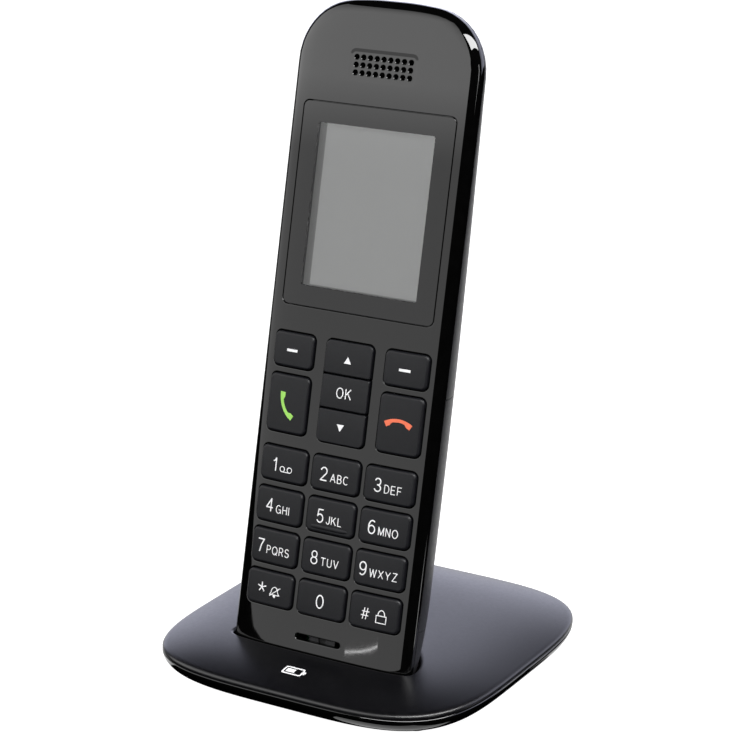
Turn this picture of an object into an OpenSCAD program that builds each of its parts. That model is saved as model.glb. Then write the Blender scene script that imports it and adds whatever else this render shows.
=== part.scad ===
// Cordless telephone handset standing in its charging base.
// Origin: centre of the base on the ground. X to the right, Y to the rear, Z up.
// The handset parts are modelled in their own frame (x right, y into the phone
// from the front face, z along its length from the lower end) and dock() puts
// them where the handset stands in the base.

/* [Handset] */
// Length of the handset, end to end
handset_length = 155.6; // [150:0.1:160]
// Width of the handset
handset_width = 48; // [47:0.5:50]
// Thickness at the thickest point, over the battery door
handset_depth = 23.6; // [23.6:0.2:26]
// Thickness of the back at the upper end, before its edge is rounded
top_depth = 10; // [8:0.2:12]
// Wall thickness of the handset shells
shell_wall = 1.6; // [1.4:0.1:1.8]
// Depth of the parting line behind the front face
parting = 3.6; // [3.4:0.1:3.8]
// Corner radius of the upper end, seen from the front
top_corner = 14.5; // [13:0.1:16]
// Corner radius of the lower end, seen from the front
bottom_corner = 5; // [4:0.5:6]

/* [Keys] */
// Column spacing of the dial keys
key_pitch_x = 14.25; // [14.2:0.05:14.6]
// Row spacing of the dial keys
key_pitch_z = 9.86; // [9.8:0.05:10]
// Width of a dial key opening
key_w = 13.06; // [12:0.1:13.1]
// Height of a dial key opening
key_h = 8.4; // [7.6:0.1:8.5]
// Clearance between a key and its opening
key_gap = 0.15; // [0.1:0.05:0.25]
// Height of the key caps above the front face
key_proud = 0.8; // [0.4:0.1:1]

/* [Display] */
// Width of the display lens
lens_w = 40.1; // [38:0.5:41]
// Height of the display lens
lens_h = 47.3; // [45:0.5:48]

/* [Base] */
// Width and depth of the base
base_size = 84.9; // [82:0.5:90]
// Height of the seam between the cover and the lower body
seam_height = 7.5; // [7.5:0.1:8.5]
// Rise of the cover from the seam to its crown
dome_rise = 3.6; // [3:0.1:4]
// Backward lean of the docked handset, degrees
lean = 12.93; // [12:0.1:14]

/* [Hidden] */

eps = 0.01;
core = 0.4;                      // least half size of an inner section
fit = 0.1;                       // assembly gap between pieces that are not joined
half_w = handset_width / 2;
front_n = 3.6;                   // squareness of the front half of the section
edge_r = 3.2;                    // front edge radius at both ends
join_angle = 84;                 // turn of the upper corner where the bowed end takes over
join_half = half_w - top_corner * (1 - cos(join_angle));
crown = join_half * tan(90 - join_angle) / 2;
tip_half = 1.5;                  // half width left at the very tip
arc_z = handset_length - crown - top_corner * sin(join_angle);

// where the handset's lower end stands in the base
dock_y = -25.79;
dock_z = seam_height - 0.25;

// keys: row tops and block limits along the handset
row_top = 50.56;
block_x0 = 9.37;
block_x1 = 20.7;
soft_z = [69.08, 77.48];
call_z = [53.66, 67.56];
nav_z = [53.41, 77.5];
nav_half = 6.4;
nav_split = 0.3;
key_round = 1.5;
nav_round = 0.8;
lip = 0.45;
lip_y = [2.5, 3.0];

// display
lens_z = 107.48;
lens_y = [0.2, 1.2];
window_w = 34;
window_h = 41.5;
lcd_z = 107.5;

// board stack, depths behind the front face
mat_y = [3.65, 4.15];
dome_y = 5.0;
board_y = [5.2, 6.2];
board_half = 20.5;
board_z = [5, 146];

// ear and mouth
ear_z = 140.35;
ear_pitch = 1.78;
mic_z = 7.1;
post_x = 16;
post_z = 9.2;
board_post = [[-19, 81.2], [19, 81.2], [-16.5, 136.5], [16.5, 136.5]];

// battery bay
door_z = [13.5, 67.6];
door_tilt = 8;
cell_x = 5.7;
cell_y = 15.3;
cell_r = 5.2;
cell_z = [17.4, 61.9];
bay_floor = [8.7, 9.8];

// charging contacts
pad_x = 9;
pad_y = [4.2, 8.6];
leaf_w = 2.4;
leaf_pivot = [-29.5, 4.75];

// base
base_half = base_size / 2;
base_n = 4;                      // squareness of the base outline
cover_wall = 1.6;
body_wall = 1.4;
body_drop = 5.2;
body_inset = 8;
foot_xy = 21.5;
post_xy = 29;

// ---------------------------------------------------------------- helpers

function pw(v, p) = sign(v) * pow(abs(v), p);

// half width of the outline at height z
function width_at(z) =
    z < bottom_corner ? half_w - bottom_corner + sqrt(pow(bottom_corner, 2) - pow(bottom_corner - z, 2))
    : z > handset_length - crown ? (join_half - tip_half) * sqrt(max(0, (handset_length - z) / crown)) + tip_half
    : z > arc_z ? half_w - top_corner + sqrt(pow(top_corner, 2) - pow(z - arc_z, 2))
    : half_w;

// depth of the front face at height z
function end_round(e) = e < edge_r ? edge_r - sqrt(pow(edge_r, 2) - pow(edge_r - e, 2)) : 0;
function front_at(z) = max(end_round(z), end_round(handset_length - z));

// depth of the back at height z
heel_z = 22;
belly_z = 40;
top_round = 4;
function back_at(z) =
    z < heel_z ? handset_depth - 12.6 * pow((heel_z - z) / heel_z, 2.5)
    : z < belly_z ? handset_depth
    : handset_depth - (handset_depth - top_depth) * pow((z - belly_z) / (handset_length - belly_z), 2.1)
      - (z > handset_length - top_round
         ? 2.5 * (1 - sqrt(1 - pow((z - handset_length + top_round) / top_round, 2))) : 0);

// closed section, squarer in front of the parting line than behind it
function section(w, f, t) = [
    for (a = [0:10:350])
        sin(a) < 0
        ? [w * pw(cos(a), 2 / front_n), parting - (parting - f) * pow(-sin(a), 2 / front_n)]
        : [w * cos(a), parting + (t - parting) * sin(a)]
];

heel_stations = [for (i = [0:3]) bottom_corner * (1 - cos(i * 30))];
lower_stations = concat(heel_stations, [for (z = [8:7:22]) z]);
upper_stations = concat([for (z = [45:22:111]) z], [for (z = [125, 133]) z],
    [for (i = [0:5]) arc_z + top_corner * sin(i * join_angle / 5)],
    [handset_length - crown / 2, handset_length - crown / 8, handset_length]);
all_stations = concat(lower_stations, upper_stations);

// smooth form of the handset, drawn in by inset on every side
module envelope(inset, stations = all_stations) {
    stretch = (handset_length - 2 * inset) / handset_length;
    rings = [for (z = stations) [
        for (p = section(
            max(width_at(z) - inset, core),
            min(front_at(z) + inset, parting - core),
            max(back_at(z) - inset, parting + core)
        )) [p[0], p[1], inset + z * stretch]
    ]];
    n = len(rings[0]);
    last = (len(rings) - 1) * n;
    sides = [for (k = [0:len(rings) - 2], i = [0:n - 1])
        let (low = k * n, high = low + n, j = (i + 1) % n)
        each [[low + i, high + i, high + j], [low + i, high + j, low + j]]];
    polyhedron(
        points = [for (ring = rings) each ring],
        faces = concat(sides, [[for (i = [0:n - 1]) i]], [[for (i = [n - 1:-1:0]) last + i]])
    );
}

module dock() {
    translate([0, dock_y, dock_z]) rotate([-lean, 0, 0]) children();
}

// block given by its limits along each axis
module block(x, y, z) {
    translate([x[0], y[0], z[0]]) cube([x[1] - x[0], y[1] - y[0], z[1] - z[0]]);
}

// plate with round corners in the x-z plane, between two depths
module plate(x, z, y, r) {
    w = x[1] - x[0];
    h = z[1] - z[0];
    translate([(x[0] + x[1]) / 2, y[1], (z[0] + z[1]) / 2])
        rotate([90, 0, 0])
            linear_extrude(height = y[1] - y[0])
                union() {
                    square([w - 2 * r, h], center = true);
                    square([w, h - 2 * r], center = true);
                    for (i = [-1, 1], j = [-1, 1])
                        translate([i * (w / 2 - r), j * (h / 2 - r)]) circle(r = r, $fn = 24);
                }
}

// disc lying across the depth of the phone
module disc(x, z, y, r) {
    translate([x, y[1], z]) rotate([90, 0, 0]) cylinder(r = r, h = y[1] - y[0], $fn = 48);
}

// everything above the tilted top edge of the battery door
module above_seam(shift = 0) {
    translate([0, parting, door_z[1] + shift]) rotate([door_tilt, 0, 0])
        translate([-40, -40, 0]) cube([80, 100, 120]);
}

// rounded-square outline of the base, drawn in by inset
function base_outline(inset) = [
    for (a = [0:6:354])
        (base_half - inset) * [pw(cos(a), 2 / base_n), pw(sin(a), 2 / base_n)]
];

// solid through stacked outlines, each given as [inset, height]
module stack(levels) {
    hull()
        for (level = levels)
            translate([0, 0, level[1]]) linear_extrude(height = eps) polygon(base_outline(level[0]));
}

// pillow form of the cover: rounded rim, then a flattening crown
function dome_levels(inset) = concat(
    [[inset, seam_height], [inset + 0.1, seam_height + 0.7 - inset / 3]],
    [for (k = [0.03, 0.09, 0.18, 0.3, 0.45, 0.7])
        [inset + k * base_half, seam_height + 0.9 - inset + (dome_rise - 0.9) * (1 - pow(1 - k, 4.5)) + 0.25]]
);

// lower body: a quarter ellipse that curls in, then a shallow floor
function body_levels(inset, lift) = concat(
    [for (a = [0:22.5:90])
        [inset + body_inset * (1 - cos(a)), seam_height + lift - body_drop * sin(a)]],
    [[inset + 14, 1.2 + lift]]
);

// ---------------------------------------------------------------- key openings

function dial_x(col) = [(col - 1) * key_pitch_x - key_w / 2, (col - 1) * key_pitch_x + key_w / 2];
function dial_z(row) = [row_top - row * key_pitch_z - key_h, row_top - row * key_pitch_z];
left_x = [-block_x1, -block_x0];
right_x = [block_x0, block_x1];
nav_x = [-nav_half, nav_half];
nav_third = (nav_z[1] - nav_z[0]) / 3;
function nav_part(i) = [
    nav_z[0] + i * nav_third + (i > 0 ? nav_split / 2 - key_gap : 0),
    nav_z[0] + (i + 1) * nav_third - (i < 2 ? nav_split / 2 - key_gap : 0)
];

module openings(y) {
    for (row = [0:3], col = [0:2]) plate(dial_x(col), dial_z(row), y, key_round);
    for (x = [left_x, right_x]) {
        plate(x, soft_z, y, key_round);
        plate(x, call_z, y, key_round);
    }
    plate(nav_x, nav_z, y, nav_round);
}

// key cap with a stepped shoulder above and a retaining lip behind the shell
module key(x, z, r = key_round, lip_z = lip) {
    g = key_gap;
    s = 0.35;
    plate([x[0] + g, x[1] - g], [z[0] + g, z[1] - g], [s - key_proud, lip_y[0] + fit], r - g);
    plate([x[0] + g + s, x[1] - g - s], [z[0] + g + s, z[1] - g - s], [-key_proud, lip_y[0]], r - g - s);
    plate([x[0] + g - lip, x[1] - g + lip], [z[0] + g - lip_z, z[1] - g + lip_z], lip_y, r - g);
}

module dial_key(row, col) {
    color("#25272b") dock() key(dial_x(col), dial_z(row));
}

// ---------------------------------------------------------------- handset shells

module front_shell() {
    color("#0b0b0c") dock() difference() {
        union() {
            difference() {
                envelope(0);
                envelope(shell_wall);
                block([-30, 30], [parting, 40], [-5, 170]);
            }
            // ledge that carries the lens and frames the display
            difference() {
                plate([-21, 21], [lens_z - 24.6, lens_z + 24.6], [1.0, 2.2], 1.5);
                block([-window_w / 2, window_w / 2], [0, 4], [lens_z - window_h / 2, lens_z + window_h / 2]);
            }
            for (p = board_post) disc(p[0], p[1], [1.2, board_y[0] - fit], 1.9);
            for (i = [-1, 1]) disc(i * post_x, post_z, [1.2, 4.8], 2);
        }
        openings([-2, parting]);
        // lens recess and display window
        plate([-lens_w / 2 - fit, lens_w / 2 + fit], [lens_z - lens_h / 2 - fit, lens_z + lens_h / 2 + fit],
              [-2, lens_y[1]], 1.6);
        block([-window_w / 2, window_w / 2], [-1, 2.3], [lens_z - window_h / 2, lens_z + window_h / 2]);
        // earpiece grid in its shallow recess
        for (i = [-4:4], j = [-1:1]) disc(i * ear_pitch, ear_z + j * ear_pitch, [-1, 3], 0.6);
        plate([-8.2, 8.2], [ear_z - 2.9, ear_z + 2.9], [-1, 0.3], 0.6);
        // mouth slot
        plate([-6, 6], [mic_z - 0.65, mic_z + 0.65], [-1, 3], 0.6);
        for (p = board_post) disc(p[0], p[1], [2.6, 8], 0.7);
        for (i = [-1, 1]) disc(i * post_x, post_z, [2.6, 8], 0.8);
    }
}

module rear_shell() {
    color("#2c2d30") dock() difference() {
        union() {
            // full skin above the door and at the heel
            difference() {
                envelope(0);
                envelope(shell_wall);
                block([-30, 30], [-5, parting + fit], [-5, 170]);
                difference() {
                    block([-30, 30], [-5, 40], [door_z[0], 90]);
                    above_seam();
                }
            }
            // walls that close both ends of the battery bay, its floor and its sides
            intersection() {
                envelope(shell_wall - 0.3);
                union() {
                    block([-30, 30], [7, 40], [door_z[0] - 1.2, door_z[0]]);
                    intersection() {
                        block([-30, 30], [7, 40], [60, 75]);
                        difference() {
                            above_seam();
                            above_seam(1.2);
                        }
                    }
                }
            }
            intersection() {
                envelope(shell_wall + 0.4);
                union() {
                    block([-20.5, 20.5], bay_floor, [door_z[0] - 1, door_z[1] + 2]);
                    for (i = [-1, 1])
                        block([i * 19.9 - 0.6, i * 19.9 + 0.6], [7.2, 14], [door_z[0] - 1, door_z[1] + 2]);
                    for (i = [-1, 1])
                        block([i * 11.8 - 0.5, i * 11.8 + 0.5], [9.5, 15], [17, 61]);
                    block([-12.3, 12.3], [9.5, 18], [door_z[0] - 1, door_z[0] + 1.2]);
                    block([-12.3, 12.3], [9.5, 18], [65.2, 66.4]);
                }
            }
            // screw bosses in the heel
            for (i = [-1, 1]) disc(i * post_x, post_z, [6.5, 14], 2.4);
            // cup that holds the loudspeaker
            intersection() {
                envelope(0.8);
                difference() {
                    disc(0, 112, [11, 18], 11.2);
                    disc(0, 112, [10, 19], 10.2);
                }
            }
        }
        for (i = [-1, 1]) {
            disc(i * post_x, post_z, [5, 9], 1.1);
            disc(i * post_x, post_z, [8.1, 30], 1.9);
        }
        // sound slots of the loudspeaker
        for (k = [-2:2])
            plate([-5, 5], [112 + k * 2.6 - 0.6, 112 + k * 2.6 + 0.6], [12, 25], 0.55);
        for (i = [-1, 1])
            block([i * pad_x - 1.9, i * pad_x + 1.9], [pad_y[0] - 0.1, pad_y[1] + 0.1], [-1, 1]);
    }
}

module battery_door() {
    color("#2c2d30") dock() difference() {
        envelope(0);
        envelope(shell_wall);
        block([-30, 30], [-5, parting + 1.5 * fit], [-5, 170]);
        block([-30, 30], [-5, 40], [-5, door_z[0] + 1.5 * fit]);
        above_seam(-1.5 * fit);
        // nail notch
        translate([0, back_at(door_z[0]) + 2, door_z[0]]) sphere(r = 3.4, $fn = 32);
    }
}

// ---------------------------------------------------------------- display, ear and mouth

module display_lens() {
    color("#3a3b3d") dock()
        plate([-lens_w / 2, lens_w / 2], [lens_z - lens_h / 2, lens_z + lens_h / 2], lens_y, 1.5);
}

module lcd_panel() {
    color("#8c8e90") dock() block([-17.8, 17.8], [2.25, 3.75], [lcd_z - 22.5, lcd_z + 22.5]);
}

module lcd_backlight() {
    color("#e8e8e4") dock() block([-18.6, 18.6], [3.8, 5.1], [lcd_z - 23.2, lcd_z + 23.2]);
}

module receiver() {
    color("#5c5d60") dock() union() {
        disc(0, ear_z, [2.2, 5], 7);
        disc(0, ear_z, [2.05, 2.3], 5.6);
    }
}

module receiver_mesh() {
    color("#1b1b1c") dock() plate([-8.4, 8.4], [ear_z - 3, ear_z + 3], [1.72, 1.95], 0.6);
}

module loudspeaker() {
    color("#4a4b4e") dock() union() {
        disc(0, 112, [10.6, 12.2], 6.5);
        disc(0, 112, [12.1, 13.6], 10);
    }
}

module microphone() {
    color("#b9bcc0") dock() disc(0, mic_z, [2.4, 4.5], 2.9);
}

module microphone_boot() {
    color("#1c1c1d") dock() difference() {
        disc(0, mic_z, [2.1, 4.7], 3.5);
        disc(0, mic_z, [2.35, 5], 2.95);
        disc(0, mic_z, [1, 3], 1);
    }
}

// ---------------------------------------------------------------- electronics

module main_board() {
    color("#1f5a34") dock() difference() {
        plate([-board_half, board_half], board_z, board_y, 3);
        // the upper corners follow the shell
        for (i = [-1, 1])
            translate([i * board_half, 0, board_z[1]]) rotate([0, 45, 0])
                translate([-3.5, 0, -3.5]) cube([7, 10, 7]);
        for (p = board_post) disc(p[0], p[1], [4, 8], 0.95);
        for (i = [-1, 1]) disc(i * post_x, post_z, [4, 8], 2.4);
    }
}

module chips() {
    color("#1a1a1c") dock() {
        block([-6, 6], [board_y[1], 7.3], [96, 108]);
        block([-9, -3], [board_y[1], 7.2], [112, 118]);
        block([3, 9], [board_y[1], 7.2], [111, 118]);
        block([6, 14], [board_y[1], 7.4], [74, 82]);
    }
}

module rf_shield() {
    color("#b7babd") dock() difference() {
        block([-14, 14], [board_y[1], 8.1], [90, 122]);
        block([-13.7, 13.7], [board_y[1] - 1, 7.8], [90.3, 121.7]);
    }
}

module antenna() {
    color("#c7a45a") dock() {
        block([-12, 12], [7.8, 8.1], [138.5, 144.5]);
        for (x = [-11, 5]) block([x, x + 2], [board_y[1], 7.85], [138.5, 138.9]);
    }
}

module keypad_mat() {
    color("#6f7276") dock()
        block([-20.6, 20.6], mat_y, [13, 77.6]);
}

module dome_sheet() {
    color("#c9ccd0") dock() {
        block([-20, 20], [dome_y, board_y[0] - 0.05], [13.5, 77.2]);
        for (row = [0:3], col = [0:2])
            disc((col - 1) * key_pitch_x, row_top - row * key_pitch_z - key_h / 2, [4.7, dome_y + eps], 2.5);
        for (i = [-1, 1]) {
            disc(i * (block_x0 + block_x1) / 2, (soft_z[0] + soft_z[1]) / 2, [4.7, dome_y + eps], 2.5);
            disc(i * (block_x0 + block_x1) / 2, (call_z[0] + call_z[1]) / 2, [4.7, dome_y + eps], 2.5);
        }
        for (i = [0:2])
            disc(0, nav_z[0] + (i + 0.5) * nav_third, [4.7, dome_y + eps], 2.5);
    }
}

// ---------------------------------------------------------------- power

// AAA cell: body and raised positive cap, up = 1 puts the cap at the upper end
module cell(x, up) {
    length = cell_z[1] - cell_z[0];
    dock() translate([x, cell_y, (cell_z[0] + cell_z[1]) / 2]) rotate([up > 0 ? 0 : 180, 0, 0]) {
        translate([0, 0, -length / 2]) cylinder(r = cell_r, h = length - 0.8, $fn = 48);
        translate([0, 0, length / 2 - 1]) cylinder(r = 1.9, h = 1, $fn = 32);
    }
}

module battery_left() { color("#2e6fae") cell(-cell_x, 1); }
module battery_right() { color("#2e6fae") cell(cell_x, -1); }

// cone springs, drawn as their outer form
module battery_springs() {
    color("#c4c6c8") dock() {
        translate([-cell_x, cell_y - 1, door_z[0] + 1.25]) cylinder(r1 = 3, r2 = 2, h = 2.6, $fn = 32);
        translate([cell_x, cell_y - 1, 61.95]) cylinder(r1 = 2, r2 = 3, h = 3.2, $fn = 32);
    }
}

module battery_plates() {
    color("#c4c6c8") dock() {
        block([cell_x - 3, cell_x + 3], [bay_floor[1] + fit, 17], [door_z[0] + 1.25, door_z[0] + 1.65]);
        translate([cell_x, cell_y, door_z[0] + 1.6]) cylinder(r = 1.5, h = 2.2, $fn = 32);
        block([-cell_x - 3, -cell_x + 3], [bay_floor[1] + fit, 17], [64.75, 65.15]);
        translate([-cell_x, cell_y, 61.95]) cylinder(r = 1.5, h = 2.85, $fn = 32);
    }
}

module charge_pads() {
    color("#d2b26a") dock()
        for (i = [-1, 1]) block([i * pad_x - 1.8, i * pad_x + 1.8], pad_y, [0.4, 0.95]);
}

module pan_screw(head_r, head_h, shank_r, shank_l) {
    rotate([-90, 0, 0]) {
        translate([0, 0, -shank_l]) cylinder(r = shank_r, h = shank_l + eps, $fn = 24);
        difference() {
            cylinder(r = head_r, h = head_h, $fn = 32);
            for (a = [0, 90]) rotate([0, 0, a])
                translate([-head_r * 0.6, -0.18, head_h - 0.45]) cube([head_r * 1.2, 0.36, 1]);
        }
    }
}

module shell_screws() {
    color("#8f9296") dock()
        for (i = [-1, 1]) translate([i * post_x, 8.15, post_z]) pan_screw(1.7, 1.2, 0.7, 5);
}

module board_screws() {
    color("#8f9296") dock()
        for (p = board_post) translate([p[0], board_y[1], p[1]]) pan_screw(1.6, 1, 0.6, 3.2);
}

// ---------------------------------------------------------------- keys

module key_1() { dial_key(0, 0); }
module key_2() { dial_key(0, 1); }
module key_3() { dial_key(0, 2); }
module key_4() { dial_key(1, 0); }
module key_5() { dial_key(1, 1); }
module key_6() { dial_key(1, 2); }
module key_7() { dial_key(2, 0); }
module key_8() { dial_key(2, 1); }
module key_9() { dial_key(2, 2); }
module key_star() { dial_key(3, 0); }
module key_0() { dial_key(3, 1); }
module key_hash() { dial_key(3, 2); }
module soft_key_left() { color("#25272b") dock() key(left_x, soft_z); }
module soft_key_right() { color("#25272b") dock() key(right_x, soft_z); }
module call_key() { color("#25272b") dock() key(left_x, call_z); }
module end_key() { color("#25272b") dock() key(right_x, call_z); }
module nav_key(i) { color("#25272b") dock() key(nav_x, nav_part(i), nav_round, 0); }
module nav_up_key() { nav_key(2); }
module ok_key() { nav_key(1); }
module nav_down_key() { nav_key(0); }

// ---------------------------------------------------------------- base

module base_cover() {
    color("#1d1e20") difference() {
        union() {
            difference() {
                stack(dome_levels(0));
                stack(concat([[cover_wall, seam_height - 1]], dome_levels(cover_wall)));
            }
            // walls and floor of the pocket, below the crown
            intersection() {
                dock() envelope(-1.65, lower_stations);
                union() {
                    stack(dome_levels(0.5));
                    block([-32, 32], [-32, 12], [2, seam_height + 0.5]);
                }
            }
            for (i = [-1, 1], j = [-1, 1])
                translate([i * post_xy, j * post_xy, 4.1]) cylinder(r = 2.6, h = 4.8, $fn = 32);
        }
        dock() envelope(-0.45, lower_stations);
        for (i = [-1, 1], j = [-1, 1])
            translate([i * post_xy, j * post_xy, 3]) cylinder(r = 0.9, h = 4.6, $fn = 32);
        // windows for the charging leaves
        for (i = [-1, 1])
            dock() block([i * pad_x - 1.7, i * pad_x + 1.7], [0.8, 11.6], [-3, 1]);
    }
}

module base_body() {
    color("#0d0d0e") difference() {
        union() {
            difference() {
                stack(body_levels(0, -fit));
                stack(body_levels(body_wall, body_wall));
            }
            for (i = [-1, 1], j = [-1, 1])
                translate([i * post_xy, j * post_xy, 2]) cylinder(r = 3.4, h = 2, $fn = 32);
            for (i = [-1, 1]) block([i * 12 - 1, i * 12 + 1], [-34, -31], [2, 3.9]);
        }
        for (i = [-1, 1], j = [-1, 1]) {
            translate([i * post_xy, j * post_xy, 0]) cylinder(r = 1.1, h = 5, $fn = 32);
            translate([i * post_xy, j * post_xy, 0]) cylinder(r = 2.4, h = 2.9, $fn = 32);
            translate([i * foot_xy, j * foot_xy, 0]) cylinder(r = 4.1, h = 1.6, $fn = 48);
        }
        block([-4.6, 4.6], [30, 50], [3.5, 7.0]);
    }
}

module base_feet() {
    color("#3b3c3f")
        for (i = [-1, 1], j = [-1, 1])
            translate([i * foot_xy, j * foot_xy, 0]) {
                cylinder(r = 3.6, h = 0.4, $fn = 48);
                translate([0, 0, 0.3]) cylinder(r = 4, h = 1.25, $fn = 48);
            }
}

module base_screws() {
    color("#8f9296")
        for (i = [-1, 1], j = [-1, 1])
            translate([i * post_xy, j * post_xy, 2.85]) rotate([-90, 0, 0]) pan_screw(2.2, 1.3, 0.8, 4.2);
}

module ballast_plate() {
    color("#9a9da1") difference() {
        block([-24, 24], [8, 26], [3.3, 4.9]);
        block([-3, 3], [20, 30], [2, 6]);
    }
}

module charge_board() {
    color("#1f5a34") block([-14, 14], [-34.4, -29.9], [3.95, 4.6]);
}

// contact strip: flat tail, ramp, rounded hump and a free end
module charge_leaf(x) {
    t = 0.3;
    low = leaf_pivot[1] - t / 2;
    outline = [
        [-34.2, low], [-25.4, low], [-20.9, low + 1.1], [-19.55, low + 1.22], [-18.6, low + 0.9],
        [-17.7, low - 0.2], [-17.4, low - 0.1], [-18.35, low + 1.15], [-19.55, low + 1.52],
        [-21.1, low + 1.4], [-25.5, low + t], [-34.2, low + t]
    ];
    color("#d2b26a") translate([x - leaf_w / 2, 0, 0]) rotate([90, 0, 90])
        linear_extrude(height = leaf_w) polygon(outline);
}

module charge_leaf_left() { charge_leaf(-pad_x); }
module charge_leaf_right() { charge_leaf(pad_x); }

module dc_inlet() {
    color("#161617") difference() {
        block([-4.5, 4.5], [31.5, 38.6], [3.6, 6.9]);
        block([-3.6, 3.6], [33.5, 40], [4.5, 6.1]);
    }
}

// flat two-wire ribbon from the inlet to the charging board
module inlet_lead() {
    ribbon_w = 1.8;
    ribbon_h = [5, 5.7];
    route = [[-3, 31.4], [-3, 29], [-29.5, 20], [-29.5, -22], [-12, -29.5]];
    color("#a33a2e") translate([0, 0, ribbon_h[0]]) linear_extrude(height = ribbon_h[1] - ribbon_h[0])
        for (i = [0:len(route) - 2]) {
            step = route[i + 1] - route[i];
            translate(route[i]) {
                rotate(atan2(step[1], step[0])) translate([0, -ribbon_w / 2]) square([norm(step), ribbon_w]);
                if (i > 0) circle(r = ribbon_w / 2, $fn = 24);
            }
        }
}

front_shell();
rear_shell();
battery_door();
display_lens();
lcd_panel();
lcd_backlight();
receiver();
receiver_mesh();
loudspeaker();
microphone();
microphone_boot();
main_board();
chips();
rf_shield();
antenna();
keypad_mat();
dome_sheet();
battery_left();
battery_right();
battery_springs();
battery_plates();
charge_pads();
shell_screws();
board_screws();
key_1();
key_2();
key_3();
key_4();
key_5();
key_6();
key_7();
key_8();
key_9();
key_star();
key_0();
key_hash();
soft_key_left();
soft_key_right();
call_key();
end_key();
nav_up_key();
ok_key();
nav_down_key();
base_cover();
base_body();
base_feet();
base_screws();
ballast_plate();
charge_board();
charge_leaf_left();
charge_leaf_right();
dc_inlet();
inlet_lead();
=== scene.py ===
"""Looks of the cordless phone: shells, keys, display, base, materials, light and camera.

Handset pieces are drawn in millimetres in the handset's own frame, as in the CAD source:
x to the right, y into the phone from the front face, z along it from the lower end.
DOCK takes them to the row frame, where the handset leans back in the base.
"""

import math

import bmesh
import bpy
from mathutils import Matrix, Quaternion, Vector
from mathutils.geometry import delaunay_2d_cdt


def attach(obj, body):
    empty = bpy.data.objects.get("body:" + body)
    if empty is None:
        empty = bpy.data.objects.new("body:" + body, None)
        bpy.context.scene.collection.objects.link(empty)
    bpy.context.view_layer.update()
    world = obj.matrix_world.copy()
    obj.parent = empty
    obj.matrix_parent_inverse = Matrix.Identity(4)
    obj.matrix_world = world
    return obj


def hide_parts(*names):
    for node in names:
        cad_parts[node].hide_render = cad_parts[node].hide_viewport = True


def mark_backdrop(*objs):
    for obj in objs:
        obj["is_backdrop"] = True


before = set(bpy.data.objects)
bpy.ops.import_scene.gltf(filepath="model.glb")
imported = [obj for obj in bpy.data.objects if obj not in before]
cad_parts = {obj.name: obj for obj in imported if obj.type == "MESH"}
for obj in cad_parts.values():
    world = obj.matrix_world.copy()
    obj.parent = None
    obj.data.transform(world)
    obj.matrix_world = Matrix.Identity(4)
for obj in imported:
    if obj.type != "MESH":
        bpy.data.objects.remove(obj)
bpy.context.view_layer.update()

# ---------------------------------------------------------------- sizes, in millimetres

MM = 0.001

# handset form, as in the CAD source
LENGTH = 155.6
HALF_W = 24.0
DEPTH = 23.6
TOP_DEPTH = 10.0
WALL = 1.6
PARTING = 3.6
TOP_R = 14.5
BOTTOM_R = 5.0
JOIN_ANGLE = math.radians(84)
TIP_W = 1.5
EDGE_R = 3.2
FRONT_N = 3.6
JOIN_W = HALF_W - TOP_R * (1 - math.cos(JOIN_ANGLE))
CROWN = JOIN_W / math.tan(JOIN_ANGLE) / 2
ARC_Z = LENGTH - CROWN - TOP_R * math.sin(JOIN_ANGLE)
HEEL_Z = 22.0
BELLY_Z = 40.0
TOP_ROUND = 4.0
TOP_DROP = 2.5
HEEL_CUT = 12.6
HEEL_POWER = 2.5
BACK_POWER = 2.1
CORE = 0.4
FACE_HALF = 21.4
INNER_FACE_HALF = 20.95
FACE_Z = (4.4, 144.5)

# base form
BASE_HALF = 42.45
BASE_N = 4
SEAM_Z = 7.5
DOME_Z = 8.65
DOME_RISE = 2.7
DOME_P = 4.5
COVER_WALL = 1.6
BODY_WALL = 1.4
BODY_DROP = 5.2
BODY_INSET = 8.0
OUTLINE_POINTS = 160
SCREWS_AT = 29
FEET_AT = 21.5
MARK_AT = (-0.4, -34.0)
POCKET_GAP = 0.45

# where the handset stands
LEAN = math.radians(12.93)
DOCK_Y = -25.79
DOCK_Z = SEAM_Z - 0.25

# key blocks and display
PITCH_X = 14.25
PITCH_Z = 9.86
KEY_W = 13.06
KEY_H = 8.4
ROW_TOP = 50.56
BLOCK_X = (9.37, 20.7)
SOFT_Z = (69.08, 77.48)
CALL_Z = (53.66, 67.56)
NAV_Z = (53.41, 77.5)
NAV_HALF = 6.4
KEY_R = 1.5
NAV_R = 1.5
NAV_INNER_R = 0.45
NAV_SPLIT = 0.3
NAV_KEYS = ("nav_down_key", "ok_key", "nav_up_key")
KEY_GAP = 0.15
KEY_PROUD = 0.8
LENS_W = 40.1
LENS_H = 47.3
LENS_Z = 107.48
LENS_DROP = 0.05
LENS_THICK = 0.95
LENS_EDGE = 0.15
LENS_R = 1.5
LENS_GAP = 0.1
LEDGE_DROP = 1.1
WINDOW_HALF = (17, 20.75)
LCD_X = (-14.2, 14.2)
LCD_Z = (88.9, 126.6)
CLEAR_HALF = 15.35
CLEAR_Z = (88.68, 126.43)
EAR_Z = 140.35
EAR_HALF = (8.2, 2.9)
EAR_CORNER = 0.7
EAR_PITCH = 1.78
EAR_R = 0.58
EAR_CHAMFER = 0.14
EAR_SLOPE = 0.9
EAR_DEEP = 0.05
MIC_ROUND = 0.3
MIC_Z = 7.1
MIC_HALF = (6, 0.65)
MIC_R = 0.6
DOOR_Z = (13.5, 67.6)
DOOR_TILT = math.radians(8)

DOCK = Matrix.Translation((0, DOCK_Y * MM, DOCK_Z * MM)) @ Matrix.Rotation(-LEAN, 4, "X")
ROW = Matrix.Identity(4)


# ---------------------------------------------------------------- forms

def power(value, exponent):
    """Signed power, for superellipses."""
    return math.copysign(abs(value) ** exponent, value)


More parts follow.
